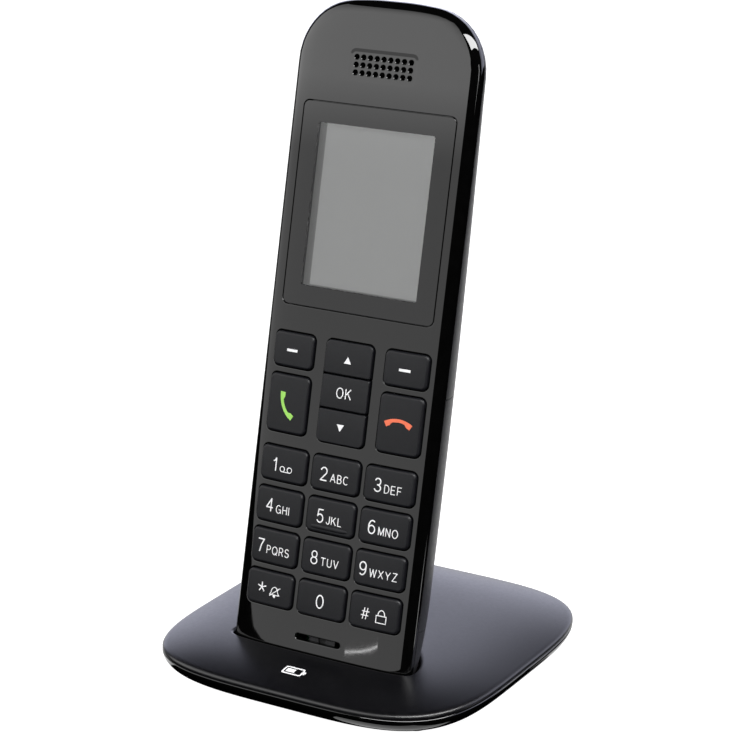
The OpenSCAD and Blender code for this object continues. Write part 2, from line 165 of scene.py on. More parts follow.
def width_at(z):
    """Half width of the handset's outline at height z."""
    if z < BOTTOM_R:
        return HALF_W - BOTTOM_R + math.sqrt(max(0, BOTTOM_R**2 - (BOTTOM_R - z) ** 2))
    if z > LENGTH - CROWN:
        return (JOIN_W - TIP_W) * math.sqrt(max(0, (LENGTH - z) / CROWN)) + TIP_W
    if z > ARC_Z:
        return HALF_W - TOP_R + math.sqrt(TOP_R**2 - (z - ARC_Z) ** 2)
    return HALF_W


def end_round(e):
    """Depth of the front face near an end, at distance e from it."""
    return EDGE_R - math.sqrt(max(0, EDGE_R**2 - (EDGE_R - e) ** 2)) if e < EDGE_R else 0


def front_at(z):
    return max(end_round(z), end_round(LENGTH - z))


def back_at(z):
    """Depth of the back at height z."""
    if z < HEEL_Z:
        return DEPTH - HEEL_CUT * ((HEEL_Z - z) / HEEL_Z) ** HEEL_POWER
    if z < BELLY_Z:
        return DEPTH
    depth = DEPTH - (DEPTH - TOP_DEPTH) * ((z - BELLY_Z) / (LENGTH - BELLY_Z)) ** BACK_POWER
    if z > LENGTH - TOP_ROUND:
        share = min(1, (z - LENGTH + TOP_ROUND) / TOP_ROUND)
        depth -= TOP_DROP * (1 - math.sqrt(1 - share**2))
    return depth


class Form:
    """The handset's smooth form, drawn in by inset on every side."""

    def __init__(self, inset):
        self.inset = inset
        self.low = inset
        self.high = LENGTH - inset

    def nominal(self, z):
        share = (z - self.inset) / (LENGTH - 2 * self.inset)
        return min(max(share, 0), 1) * LENGTH

    def half(self, z):
        return max(width_at(self.nominal(z)) - self.inset, CORE)

    def front(self, z):
        return min(front_at(self.nominal(z)) + self.inset, PARTING - CORE)

    def back(self, z):
        return max(back_at(self.nominal(z)) - self.inset, PARTING + CORE)

    def front_depth(self, x, z):
        s = min(abs(x) / self.half(z), 1)
        return PARTING - (PARTING - self.front(z)) * (1 - s**FRONT_N) ** (1 / FRONT_N)

    def level(self, x, y, z):
        """Below 1 inside the form and above 1 outside it."""
        s = abs(x) / self.half(z)
        if y < PARTING:
            return s**FRONT_N + ((PARTING - y) / (PARTING - self.front(z))) ** FRONT_N
        return s**2 + ((y - PARTING) / (self.back(z) - PARTING)) ** 2

    def normal(self, p):
        """Outward direction at a point of the surface."""
        x, y, z = p
        h = 0.01
        z = min(max(z, self.low + 2 * h), self.high - 2 * h)
        slope = Vector((
            self.level(x + h, y, z) - self.level(x - h, y, z),
            self.level(x, y + h, z) - self.level(x, y - h, z),
            self.level(x, y, z + h) - self.level(x, y, z - h),
        ))
        return slope.normalized()

    def front_point(self, x, z):
        return (x, self.front_depth(x, z), z)

    def ring_point(self, angle, z):
        """A point of the section at z. 0 is the right side and 90 degrees the middle of the back."""
        if math.sin(angle) < 0:
            x = self.half(z) * power(math.cos(angle), 2 / FRONT_N)
            rise = power(-math.sin(angle), 2 / FRONT_N)
            return (x, PARTING - (PARTING - self.front(z)) * rise, z)
        depth = PARTING + (self.back(z) - PARTING) * math.sin(angle)
        return (self.half(z) * math.cos(angle), depth, z)


OUTER = Form(0)
INNER = Form(WALL)


def dome_height(x, y, wall=0.0):
    """Height of the base cover's crown over a point of the ground."""
    rho = (x**4 + y**4) ** 0.25 / (BASE_HALF - wall)
    return DOME_Z - wall + DOME_RISE * (1 - min(rho, 1) ** DOME_P)


def dome_normal(x, y):
    h = 0.05
    slope_x = (dome_height(x + h, y) - dome_height(x - h, y)) / (2 * h)
    slope_y = (dome_height(x, y + h) - dome_height(x, y - h)) / (2 * h)
    return Vector((-slope_x, -slope_y, 1)).normalized()


def base_outline(inset):
    """Rounded-square outline of the base, drawn in by inset."""
    points = []
    for i in range(OUTLINE_POINTS):
        a = 2 * math.pi * i / OUTLINE_POINTS
        x, y = math.cos(a), math.sin(a)
        reach = (BASE_HALF - inset) / (x**BASE_N + y**BASE_N) ** (1 / BASE_N)
        points.append((reach * x, reach * y))
    return points


# ---------------------------------------------------------------- mesh building

class Skin:
    """Collects faces in millimetres, joins their corners and keeps a normal for each corner."""

    def __init__(self):
        self.points = []
        self.lookup = {}
        self.faces = []
        self.normals = []
        self.slots = []

    def point(self, p):
        key = (round(p[0], 4), round(p[1], 4), round(p[2], 4))
        if key not in self.lookup:
            self.lookup[key] = len(self.points)
            self.points.append(key)
        return self.lookup[key]

    def face(self, corners, normals=None, slot=0, outward=None):
        """A face with a normal for each corner, or flat towards outward."""
        ids = [self.point(p) for p in corners]
        keep = [i for i in range(len(ids)) if ids[i] != ids[i - 1]]
        ids = [ids[i] for i in keep]
        if len(set(ids)) < 3 or len(set(ids)) < len(ids):
            return
        flat = Vector((0, 0, 0))
        spots = [Vector(self.points[i]) for i in ids]
        for i in range(1, len(spots) - 1):
            flat += (spots[i] - spots[0]).cross(spots[i + 1] - spots[0])
        if flat.length < 1e-9:
            return
        flat.normalize()
        if normals is None:
            aim = Vector(outward) if outward is not None else flat
            turned = flat if flat.dot(aim) >= 0 else -flat
            normals = [turned] * len(ids)
        else:
            normals = [Vector(normals[i]) for i in keep]
        total = sum(normals, Vector((0, 0, 0)))
        if flat.dot(total) < 0:
            ids.reverse()
            normals.reverse()
        self.faces.append(ids)
        self.normals.append(normals)
        self.slots.append(slot)

    def strip(self, row_a, row_b, normals_a=None, normals_b=None, closed=False, outward=None):
        """Quads between two rows of points."""
        count = len(row_a)
        for i in range(count if closed else count - 1):
            j = (i + 1) % count
            corners = [row_a[i], row_a[j], row_b[j], row_b[i]]
            if normals_a is None:
                self.face(corners, outward=outward(corners) if callable(outward) else outward)
            else:
                self.face(corners, [normals_a[i], normals_a[j], normals_b[j], normals_b[i]])

    def sheet(self, rows, normals, closed=False):
        """Strips between all neighbouring rows."""
        for k in range(len(rows) - 1):
            self.strip(rows[k], rows[k + 1], normals[k], normals[k + 1], closed)

    def flat(self, corners, y, outward, slot=0):
        """A face of plane points (x, z) at one depth."""
        self.face([(x, y, z) for x, z in corners], slot=slot, outward=outward)

    def build(self, name, materials, place):
        """The finished object, in metres in the row frame."""
        mesh = bpy.data.meshes.new(name)
        mesh.from_pydata([tuple(c * MM for c in p) for p in self.points], [], self.faces)
        for material in materials:
            mesh.materials.append(material)
        mesh.polygons.foreach_set("material_index", self.slots)
        mesh.polygons.foreach_set("use_smooth", [True] * len(self.faces))
        mesh.normals_split_custom_set([tuple(n) for face in self.normals for n in face])
        mesh.transform(place)
        obj = bpy.data.objects.new(name, mesh)
        bpy.context.scene.collection.objects.link(obj)
        return obj


def blank_object(name, mesh, materials):
    """Puts a mesh in the scene as an object with these materials."""
    mesh.materials.clear()
    for material in materials:
        mesh.materials.append(material)
    obj = bpy.data.objects.new(name, mesh)
    bpy.context.scene.collection.objects.link(obj)
    return obj


def smooth_by_angle(obj, degrees=32):
    """Smooth shading with hard edges kept."""
    mesh = obj.data
    mesh.polygons.foreach_set("use_smooth", [True] * len(mesh.polygons))
    mesh.set_sharp_from_angle(angle=math.radians(degrees))


def from_bmesh(name, bm, materials=(), place=ROW):
    """Makes an object of a bmesh, and frees it."""
    mesh = bpy.data.meshes.new(name)
    bm.to_mesh(mesh)
    bm.free()
    mesh.transform(place)
    return blank_object(name, mesh, materials)


def apply_modifiers(obj):
    """Replaces the object's mesh by what its modifiers give."""
    graph = bpy.context.evaluated_depsgraph_get()
    mesh = bpy.data.meshes.new_from_object(obj.evaluated_get(graph))
    obj.modifiers.clear()
    obj.data = mesh
    return obj


def add_bevel(obj, width):
    """Rounds the hard edges of a piece."""
    bevel = obj.modifiers.new("bevel", "BEVEL")
    bevel.width = width * MM
    bevel.segments = 2
    bevel.limit_method = "ANGLE"
    bevel.angle_limit = math.radians(50)
    return apply_modifiers(obj)


def cut(obj, cutters, operation="DIFFERENCE"):
    """Takes the cutter solids out of a piece, or joins them to it."""
    for cutter in cutters:
        step = obj.modifiers.new("cut", "BOOLEAN")
        step.operation = operation
        step.solver = "EXACT"
        step.object = cutter
    apply_modifiers(obj)
    for cutter in cutters:
        bpy.data.objects.remove(cutter)
    return obj


def box_cutter(x, y, z, place):
    """Block between limits, in millimetres."""
    bm = bmesh.new()
    bmesh.ops.create_cube(bm, size=1)
    spans = (x, y, z)
    for vert in bm.verts:
        vert.co = Vector([(vert.co[k] * (b - a) + (a + b) / 2) * MM for k, (a, b) in enumerate(spans)])
    return from_bmesh("cutter", bm, place=place)


def round_cutter(centre, radius, length, place, axis="Z", sides=48):
    """Cylinder about centre, in millimetres."""
    bm = bmesh.new()
    bmesh.ops.create_cone(
        bm, cap_ends=True, segments=sides, radius1=radius * MM, radius2=radius * MM, depth=length * MM
    )
    if axis == "Y":
        bmesh.ops.rotate(bm, verts=bm.verts, matrix=Matrix.Rotation(math.pi / 2, 3, "X"))
    bmesh.ops.translate(bm, verts=bm.verts, vec=Vector(centre) * MM)
    return from_bmesh("cutter", bm, place=place)


def rounded(x, z, r, grow=0.0, arc=6, pitch=2.4):
    """Rounded rectangle with its normals, whose points keep their order as it grows.

    r is one radius, or four: upper right, upper left, lower left and lower right.
    """
    radii = r if isinstance(r, tuple) else (r,) * 4
    points, directions = [], []
    spans = [x[1] - x[0], z[1] - z[0]] * 2
    for k, radius in enumerate(radii):
        cx = x[1] - radius if k in (0, 3) else x[0] + radius
        cz = z[1] - radius if k < 2 else z[0] + radius
        reach = radius + grow
        for i in range(arc + 1):
            a = math.radians(90 * k + 90 * i / arc)
            out = (math.cos(a), math.sin(a))
            points.append((cx + reach * out[0], cz + reach * out[1]))
            directions.append(out)
        side = spans[k] - radius - radii[(k + 1) % 4]
        steps = max(1, round(side / pitch))
        along = (-out[1], out[0])
        for i in range(1, steps):
            run = side * i / steps
            points.append((cx + reach * out[0] + along[0] * run, cz + reach * out[1] + along[1] * run))
            directions.append(out)
    return points, directions


def circle(x, z, r, grow=0.0, count=16):
    """Circle with its normals."""
    points, directions = [], []
    for i in range(count):
        a = 2 * math.pi * (i + 0.5) / count
        out = (math.cos(a), math.sin(a))
        points.append((x + (r + grow) * out[0], z + (r + grow) * out[1]))
        directions.append(out)
    return points, directions


def inside(point, outline):
    """True if the point lies within the closed outline."""
    x, y = point
    within = False
    for i in range(len(outline)):
        ax, ay = outline[i]
        bx, by = outline[i - 1]
        if (ay > y) != (by > y) and x < (bx - ax) * (y - ay) / (by - ay) + ax:
            within = not within
    return within


def limits(outline, margin=0.0):
    """Box round an outline, grown by a margin."""
    xs = [p[0] for p in outline]
    ys = [p[1] for p in outline]
    return min(xs) - margin, max(xs) + margin, min(ys) - margin, max(ys) + margin


def in_limits(point, bounds):
    return bounds[0] <= point[0] <= bounds[1] and bounds[2] <= point[1] <= bounds[3]


def triangles(boundary, holes, pitch):
    """Triangles between a boundary and its holes, as lists of plane points."""
    points = list(boundary)
    edges = [(i, (i + 1) % len(boundary)) for i in range(len(boundary))]
    for hole in holes:
        start = len(points)
        points += hole
        edges += [(start + i, start + (i + 1) % len(hole)) for i in range(len(hole))]
    frames = [limits(hole, 0.3 * pitch) for hole in holes]
    x0, x1, y0, y1 = limits(boundary)
    columns = max(1, round((x1 - x0) / pitch))
    rows = max(1, round((y1 - y0) / pitch))
    for i in range(1, columns):
        for j in range(1, rows):
            spot = (x0 + (x1 - x0) * i / columns, y0 + (y1 - y0) * j / rows)
            near = any(in_limits(spot, f) for f in frames)
            if not near and inside(spot, boundary):
                points.append(spot)
    spots, _, faces, _, _, _ = delaunay_2d_cdt([Vector(p) for p in points], edges, [], 0, 1e-6)
    tight = [limits(hole) for hole in holes]
    kept = []
    for face in faces:
        corners = [tuple(spots[i]) for i in face]
        middle = (sum(c[0] for c in corners) / 3, sum(c[1] for c in corners) / 3)
        if not inside(middle, boundary):
            continue
        if any(in_limits(middle, t) and inside(middle, h) for h, t in zip(holes, tight)):
            continue
        kept.append(corners)
    return kept


def spread(start, stop, count):
    """Evenly spaced values, with both ends."""
    return [start + (stop - start) * i / count for i in range(count + 1)]


# ---------------------------------------------------------------- materials

def new_material(name):
    """A node material with its one Principled shader, and its node tree."""
    material = bpy.data.materials.new(name)
    material.use_nodes = True
    tree = material.node_tree
    return material, tree, tree.nodes["Principled BSDF"]


def bare_material(name):
    """A node material with only its output, and its node tree."""
    material, tree, shader = new_material(name)
    tree.nodes.remove(shader)
    return material, tree


def feed(tree, node, inputs):
    """Gives each named input of a node its value or its link."""
    for name, value in inputs.items():
        if isinstance(value, bpy.types.NodeSocket):
            tree.links.new(value, node.inputs[name])
        else:
            node.inputs[name].default_value = value


def add_node(tree, kind, inputs, **settings):
    """A shader node with its settings, and a value or a link for each of its inputs."""
    node = tree.nodes.new("ShaderNode" + kind)
    for key, value in settings.items():
        setattr(node, key, value)
    feed(tree, node, inputs)
    return node


def show(tree, socket):
    """Joins a shader to the material's surface."""
    feed(tree, tree.nodes["Material Output"], {"Surface": socket})


def object_space(tree):
    return add_node(tree, "TexCoord", {}).outputs["Object"]


def object_noise(tree, scale, detail=2.0):
    """Noise in the piece's own space, with scale in cells per metre."""
    noise = add_node(tree, "TexNoise", {"Scale": scale, "Detail": detail, "Vector": object_space(tree)})
    return noise.outputs["Fac"]


def ramp(tree, source, low, high, start=0.3, end=0.7):
    """Maps a value to a range of numbers."""
    ends = {"From Min": start, "From Max": end, "To Min": low, "To Max": high, "Value": source}
    return add_node(tree, "MapRange", ends).outputs["Result"]


def colour_ramp(tree, source, low, high):
    """Maps a value from 0 to 1 to a mix of two colours."""
    ends = {"A": (*low, 1), "B": (*high, 1), "Factor": source}
    return add_node(tree, "Mix", ends, data_type="RGBA").outputs["Result"]


DRIFT_CELLS = 400
GRAIN_DEPTH = 0.00004


def plastic(name, low, high, rough, grain=9000, relief=0.02, specular=0.5):
    """Moulded plastic: a little colour drift, uneven gloss and a fine spark-eroded grain."""
    material, tree, shader = new_material(name)
    drift = ramp(tree, object_noise(tree, DRIFT_CELLS), 0, 1)
    feed(tree, shader, {
        "Base Color": colour_ramp(tree, drift, low, high),
        "Roughness": ramp(tree, object_noise(tree, DRIFT_CELLS * 3), *rough),
        "Specular IOR Level": specular,
    })
    if relief:
        grains = {"Strength": relief, "Distance": GRAIN_DEPTH, "Height": object_noise(tree, grain, 3)}
        feed(tree, shader, {"Normal": add_node(tree, "Bump", grains).outputs["Normal"]})
    return material


def painted_fill_glow(material, strength):
    """Painted light: a faint even glow that fills the shade the lens mask casts on the display and its frame; on
    the active area it also stands in for a backlight.
    """
    tree = material.node_tree
    light = {"Emission Color": (0.98, 1, 0.99, 1), "Emission Strength": strength}
    feed(tree, tree.nodes["Principled BSDF"], light)


def metal(name, low, high, rough):
    """Plated or brushed metal with a drifting tone."""
    material, tree, shader = new_material(name)
    drift = object_noise(tree, 900, 3)
    feed(tree, shader, {
        "Base Color": colour_ramp(tree, ramp(tree, drift, 0, 1), low, high),
        "Roughness": ramp(tree, drift, *rough),
        "Metallic": 1,
    })
    return material


def clear_window(name):
    """Clear pane: see-through, with a gloss that grows at a slant."""
    material, tree = bare_material(name)
    fresnel = add_node(tree, "Fresnel", {"IOR": 1.49}).outputs["Fac"]
    gloss = add_node(tree, "BsdfGlossy", {"Roughness": 0.05}).outputs["BSDF"]
    see = add_node(tree, "BsdfTransparent", {"Color": (0.97, 0.97, 0.97, 1)}).outputs["BSDF"]
    show(tree, add_node(tree, "MixShader", {"Fac": fresnel, 1: see, 2: gloss}).outputs["Shader"])
    return material


def see_through(name):
    """Inner face of the clear pane."""
    material, tree = bare_material(name)
    show(tree, add_node(tree, "BsdfTransparent", {}).outputs["BSDF"])
    return material


def glow(name, colour, strength):
    """A surface that only gives light."""
    material, tree = bare_material(name)
    show(tree, add_node(tree, "Emission", {"Color": (*colour, 1), "Strength": strength}).outputs["Emission"])
    return material


GLOSS_BLACK = plastic("gloss_black", (0.0008, 0.0008, 0.0008), (0.0012, 0.0012, 0.0012), (0.02, 0.03), relief=0)
LENS_BLACK = plastic("lens_black", (0.0008, 0.0008, 0.0009), (0.0012, 0.0012, 0.0013), (0.03, 0.045), relief=0)
SATIN_BLACK = plastic("satin_black", (0.005, 0.005, 0.0055), (0.006, 0.006, 0.0066), (0.36, 0.44), relief=0.15)
SATIN_COVER = plastic("satin_cover", (0.0008, 0.0008, 0.0013), (0.0012, 0.0012, 0.0018), (0.29, 0.34), relief=0.1)
KEY_BLACK = plastic(
    "key_black", (0.002, 0.0022, 0.0034), (0.0027, 0.0029, 0.0042), (0.42, 0.50), relief=0.2, specular=0.28
)
LEGEND_WHITE = plastic("legend_white", (0.64, 0.64, 0.65), (0.70, 0.70, 0.71), (0.5, 0.6), relief=0)
LEGEND_GREEN = plastic("legend_green", (0.23, 0.50, 0.075), (0.26, 0.54, 0.09), (0.5, 0.6), relief=0)
LEGEND_RED = plastic("legend_red", (0.60, 0.11, 0.045), (0.64, 0.125, 0.055), (0.5, 0.6), relief=0)
CLEAR = clear_window("lens_clear")
CLEAR_BACK = see_through("lens_clear_back")
# painted light: an even glow on the active area and the frame, in place of the shade under the lens mask
LCD_ACTIVE = plastic("lcd_active", (0.05, 0.05, 0.05), (0.055, 0.055, 0.055), (0.5, 0.6), relief=0)
painted_fill_glow(LCD_ACTIVE, 0.19)
LCD_FRAME = plastic("lcd_frame", (0.03, 0.03, 0.03), (0.035, 0.035, 0.035), (0.4, 0.5), relief=0)
painted_fill_glow(LCD_FRAME, 0.07)
WHITE_PLASTIC = plastic("white_plastic", (0.70, 0.70, 0.68), (0.78, 0.78, 0.76), (0.5, 0.6))
SPEAKER_METAL = metal("speaker_metal", (0.20, 0.20, 0.21), (0.28, 0.28, 0.29), (0.35, 0.5))
BRIGHT_METAL = metal("bright_metal", (0.55, 0.56, 0.58), (0.68, 0.69, 0.71), (0.22, 0.38))
MESH_BLACK = plastic("mesh_black", (0.006, 0.006, 0.006), (0.010, 0.010, 0.010), (0.7, 0.8), relief=0.5, grain=4000)
SOFT_RUBBER = plastic("soft_rubber", (0.028, 0.028, 0.030), (0.036, 0.036, 0.038), (0.7, 0.8), relief=0.3)
CHIP_BLACK = plastic("chip_black", (0.010, 0.010, 0.011), (0.014, 0.014, 0.015), (0.5, 0.65), relief=0.3)
CONTACT_GOLD = metal("contact_gold", (0.75, 0.55, 0.25), (0.86, 0.66, 0.34), (0.2, 0.34))
MAT_GREY = plastic("mat_grey", (0.14, 0.15, 0.16), (0.17, 0.18, 0.19), (0.6, 0.7), relief=0.2)
SCREW_STEEL = metal("screw_steel", (0.42, 0.43, 0.45), (0.55, 0.56, 0.58), (0.28, 0.42))
BALLAST_STEEL = metal("ballast_steel", (0.30, 0.31, 0.32), (0.42, 0.43, 0.44), (0.38, 0.55))
LEAD_RED = plastic("lead_red", (0.36, 0.04, 0.03), (0.42, 0.05, 0.04), (0.4, 0.5))


def board_material():
    """Green solder mask with fine copper runs under it."""
    material, tree, shader = new_material("board_green")
    spacing = {"Scale": 420, "Vector": object_space(tree)}
    cells = add_node(tree, "TexVoronoi", spacing, distance="CHEBYCHEV", feature="F2")
    runs = ramp(tree, cells.outputs["Distance"], 0, 1, 0.45, 0.5)
    feed(tree, shader, {
        "Base Color": colour_ramp(tree, runs, (0.012, 0.085, 0.030), (0.030, 0.150, 0.060)),
        "Roughness": ramp(tree, runs, 0.28, 0.4, 0, 1),
    })
    return material


def cell_material():
    """Shrink wrap of a rechargeable cell: a blue sleeve with a silver band."""
    material, tree, shader = new_material("cell_wrap")
    lean_back = {"Angle": LEAN, "Vector": object_space(tree)}
    turn = add_node(tree, "VectorRotate", lean_back, rotation_type="X_AXIS")
    split = add_node(tree, "SeparateXYZ", {"Vector": turn.outputs["Vector"]})
    band = ramp(tree, split.outputs["Z"], 0, 1, 0.0500, 0.0503)
    feed(tree, shader, {
        "Base Color": colour_ramp(tree, band, (0.02, 0.12, 0.40), (0.50, 0.52, 0.55)),
        "Roughness": ramp(tree, object_noise(tree, 800), 0.2, 0.32),
    })
    return material


BOARD_GREEN = board_material()
CELL_WRAP = cell_material()


# ---------------------------------------------------------------- front shell

HOLE_ROUND = 0.28
SIDE_STEPS = 12
FACE_PITCH = 2.4


def dial_x(col):
    return ((col - 1) * PITCH_X - KEY_W / 2, (col - 1) * PITCH_X + KEY_W / 2)


def dial_z(row):
    return (ROW_TOP - row * PITCH_Z - KEY_H, ROW_TOP - row * PITCH_Z)


def mirrored(limit):
    return (-limit[1], -limit[0])


def key_openings():
    """Limits and corner radius of every key opening, by key name."""
    names = [["key_1", "key_2", "key_3"], ["key_4", "key_5", "key_6"], ["key_7", "key_8", "key_9"],
             ["key_star", "key_0", "key_hash"]]
    found = {}
    for row, line in enumerate(names):
        for col, name in enumerate(line):
            found[name] = (dial_x(col), dial_z(row), KEY_R)
    found["soft_key_left"] = (mirrored(BLOCK_X), SOFT_Z, KEY_R)
    found["soft_key_right"] = (BLOCK_X, SOFT_Z, KEY_R)
    found["call_key"] = (mirrored(BLOCK_X), CALL_Z, KEY_R)
    found["end_key"] = (BLOCK_X, CALL_Z, KEY_R)
    return found


def straight_stations(low, high):
    return spread(low, high, max(1, round((high - low) / FACE_PITCH)))


def sideways(outs, sign=1):
    """Plane normals turned into directions in the handset's frame."""
    return [Vector((sign * out[0], 0, sign * out[1])) for out in outs]


def rim(skin, form, shape, radius, floor):
    """Rounded edge and wall of an opening in the face, down to a floor depth."""
    steps = 4
    points, outs = shape(0)
    walls = sideways(outs, -1)
    rows, normals = [], []
    for k in range(steps + 1):
        t = math.pi / 2 * k / steps
        row, ups = [], []
        for (x, z), side in zip(shape(radius * (1 - math.sin(t)))[0], walls):
            face_y = form.front_depth(x, z)
            row.append((x, face_y + radius * (1 - math.cos(t)), z))
            ups.append((form.normal((x, face_y, z)) * math.cos(t) + side * math.sin(t)).normalized())
        rows.append(row)
        normals.append(ups)
    skin.sheet(rows, normals, closed=True)
    base = [(x, floor(x, z), z) for x, z in points]
    skin.strip(rows[-1], base, walls, walls, closed=True)
    return base


def face_patch(skin, form, boundary, holes, pitch, flip, drop=0.0):
    """The part of the front face between a boundary and its holes."""
    for corners in triangles(boundary, holes, pitch):
        spots = [(x, form.front_depth(x, z) + drop, z) for x, z in corners]
        skin.face(spots, [form.normal((x, y - drop, z)) * flip for x, y, z in spots])


def side_band(skin, form, x_lim, stations, flip):
    """Rolls from the edge of the face to the parting line, on both sides."""
    for side in (-1, 1):
        rows, normals = [], []
        for z in stations:
            half = form.half(z)
            first = math.acos(min(1, (x_lim / half) ** (FRONT_N / 2)))
            row = []
            for i in range(SIDE_STEPS + 1):
                a = first * (1 - i / SIDE_STEPS)
                x = x_lim if i == 0 else half * power(math.cos(a), 2 / FRONT_N)
                y = form.front_depth(x, z) if i == 0 else form.ring_point(-a, z)[1]
                row.append((side * x, y, z))
            rows.append(row)
            normals.append([form.normal(p) * flip for p in row])
        skin.sheet(rows, normals)


def end_loft(skin, form, x_lim, xs, start, stations, flip):
    """Closes the face towards one end, with the section shrinking as the outline does."""
    half = form.half(start)
    first = math.acos(min(1, (x_lim / half) ** (FRONT_N / 2)))
    turns = [first * (1 - i / SIDE_STEPS) for i in range(1, SIDE_STEPS + 1)]
    side = [power(math.cos(turn), 2 / FRONT_N) for turn in turns]
    shares = [-s for s in reversed(side)] + [x / half for x in xs] + side
    rows, normals = [], []
    for z in stations:
        row = []
        for s in shares:
            y = PARTING - (PARTING - form.front(z)) * max(0, 1 - abs(s) ** FRONT_N) ** (1 / FRONT_N)
            row.append((form.half(z) * s, y, z))
        rows.append(row)
        normals.append([form.normal(p) * flip for p in row])
    skin.sheet(rows, normals)
    return rows[-1]


def top_stations(form, start):
    """Heights towards the upper end, closer together where it rounds off."""
    last_arc = form.high - CROWN
    arc = [start + (last_arc - start) * math.sin(math.pi / 2 * i / 10) for i in range(11)]
    crown = [form.high - CROWN * (1 - i / 10) ** 2 for i in range(1, 11)]
    return arc + crown


def bottom_stations(form, start):
    return [form.low + (start - form.low) * (1 - math.sin(math.pi / 2 * i / 8)) for i in range(9)]


def shell_half(skin, form, x_lim, z_lim, holes, flip):
    """One skin of the front shell: patch, sides and both ends. Returns the heights along its edge."""
    zs = straight_stations(*z_lim)
    xs = straight_stations(-x_lim, x_lim)
    boundary = [(x, z_lim[0]) for x in xs]
    boundary += [(x_lim, z) for z in zs[1:]]
    boundary += [(x, z_lim[1]) for x in reversed(xs[:-1])]
    boundary += [(-x_lim, z) for z in reversed(zs[1:-1])]
    face_patch(skin, form, boundary, holes, FACE_PITCH, flip)
    side_band(skin, form, x_lim, zs, flip)
    upper = top_stations(form, z_lim[1])
    lower = bottom_stations(form, z_lim[0])
    top_row = end_loft(skin, form, x_lim, xs, z_lim[1], upper, flip)
    low_row = end_loft(skin, form, x_lim, xs, z_lim[0], lower, flip)
    skin.face(top_row, outward=(0, 0, flip))
    skin.face(low_row, outward=(0, 0, -flip))
    return list(reversed(lower)) + zs[1:-1] + upper


def centred(half_x, middle_z, half_z, r, *rest):
    """Maker of a rounded opening about the handset's middle line, grown by what it is given."""
    return lambda grow: rounded((-half_x, half_x), (middle_z - half_z, middle_z + half_z), r, grow, *rest)


def ear_recess(skin, ear):
    """Shallow dished recess of the earpiece, with its grid of chamfered holes."""
    outer, outs = ear(EAR_SLOPE)
    floor, _ = ear(0)
    steps = 8
    rows, normals = [], []
    for k in range(steps + 1):
        share = k / steps
        slope = EAR_DEEP / EAR_SLOPE * 6 * share * (1 - share)
        row, ups = [], []
        for (ax, az), (bx, bz), out in zip(outer, floor, sideways(outs)):
            x, z = ax + (bx - ax) * share, az + (bz - az) * share
            row.append((x, OUTER.front_depth(x, z) + EAR_DEEP * share * share * (3 - 2 * share), z))
            ups.append((OUTER.normal(OUTER.front_point(x, z)) - out * slope).normalized())
        rows.append(row)
        normals.append(ups)
    skin.sheet(rows, normals, closed=True)
    wide_holes = [circle(*spot, EAR_R, EAR_CHAMFER)[0] for spot in EAR_SPOTS]
    face_patch(skin, OUTER, floor, wide_holes, 5.0, 1, EAR_DEEP)
    for spot, wide in zip(EAR_SPOTS, wide_holes):
        hole, outs = circle(*spot, EAR_R)
        top = [(x, OUTER.front_depth(x, z) + EAR_DEEP, z) for x, z in wide]
        neck = [(x, OUTER.front_depth(x, z) + EAR_DEEP + EAR_CHAMFER, z) for x, z in hole]
        slants = [Vector((-out[0], -1, -out[1])).normalized() for out in outs]
        skin.strip(top, neck, slants, slants, closed=True)
        walls = sideways(outs, -1)
        skin.strip(neck, [(x, INNER.front_depth(x, z), z) for x, z in hole], walls, walls, closed=True)


def lens_recess(skin, lens, window):
    """Wall and ledge that the lens sits in, and the window through the ledge."""
    ledge = rim(skin, OUTER, lens, 0.2, lambda x, z: OUTER.front_depth(x, z) + LEDGE_DROP)
    for corners in triangles([(p[0], p[2]) for p in ledge], [window], 3.0):
        skin.face([(x, OUTER.front_depth(x, z) + LEDGE_DROP, z) for x, z in corners], outward=(0, -1, 0))
    window_top = [(x, OUTER.front_depth(x, z) + LEDGE_DROP, z) for x, z in window]
    window_low = [(x, INNER.front_depth(x, z), z) for x, z in window]
    centre = Vector((0, 0, LENS_Z))
    skin.strip(window_top, window_low, closed=True, outward=lambda c: centre - Vector(c[0]))


EAR_SPOTS = [(i * EAR_PITCH, EAR_Z + j * EAR_PITCH) for i in range(-4, 5) for j in (-1, 0, 1)]


def front_shell():
    """Glossy front shell with key openings, lens recess, ear holes and mouth slot."""
    skin = Skin()
    shapes = [lambda grow, o=opening: rounded(*o, grow) for opening in key_openings().values()]
    shapes.append(lambda grow: rounded((-NAV_HALF, NAV_HALF), NAV_Z, NAV_R, grow))
    mic = centred(MIC_HALF[0], MIC_Z, MIC_HALF[1], MIC_R, 4, 1.2)
    lens = centred(LENS_W / 2 + LENS_GAP, LENS_Z, LENS_H / 2 + LENS_GAP, LENS_R + LENS_GAP)
    window = centred(WINDOW_HALF[0], LENS_Z, WINDOW_HALF[1], 0.6)(0)[0]
    ear = centred(EAR_HALF[0], EAR_Z, EAR_HALF[1], EAR_CORNER, 4, 1.2)

    outer_holes = [shape(HOLE_ROUND)[0] for shape in shapes]
    outer_holes += [mic(MIC_ROUND)[0], lens(0.2)[0], ear(EAR_SLOPE)[0]]
    stations = shell_half(skin, OUTER, FACE_HALF, FACE_Z, outer_holes, 1)
    inner_holes = [shape(0)[0] for shape in shapes] + [mic(0)[0], window]
    inner_holes += [circle(*spot, EAR_R)[0] for spot in EAR_SPOTS]
    inner_stations = shell_half(skin, INNER, INNER_FACE_HALF, FACE_Z, inner_holes, -1)
    for shape in shapes:
        rim(skin, OUTER, shape, HOLE_ROUND, INNER.front_depth)
    rim(skin, OUTER, mic, MIC_ROUND, INNER.front_depth)
    lens_recess(skin, lens, window)
    ear_recess(skin, ear)
    close_edge(skin, stations, inner_stations)
    obj = skin.build("front_shell_face", [GLOSS_BLACK], DOCK)
    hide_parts("front_shell")
    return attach(obj, "handset")


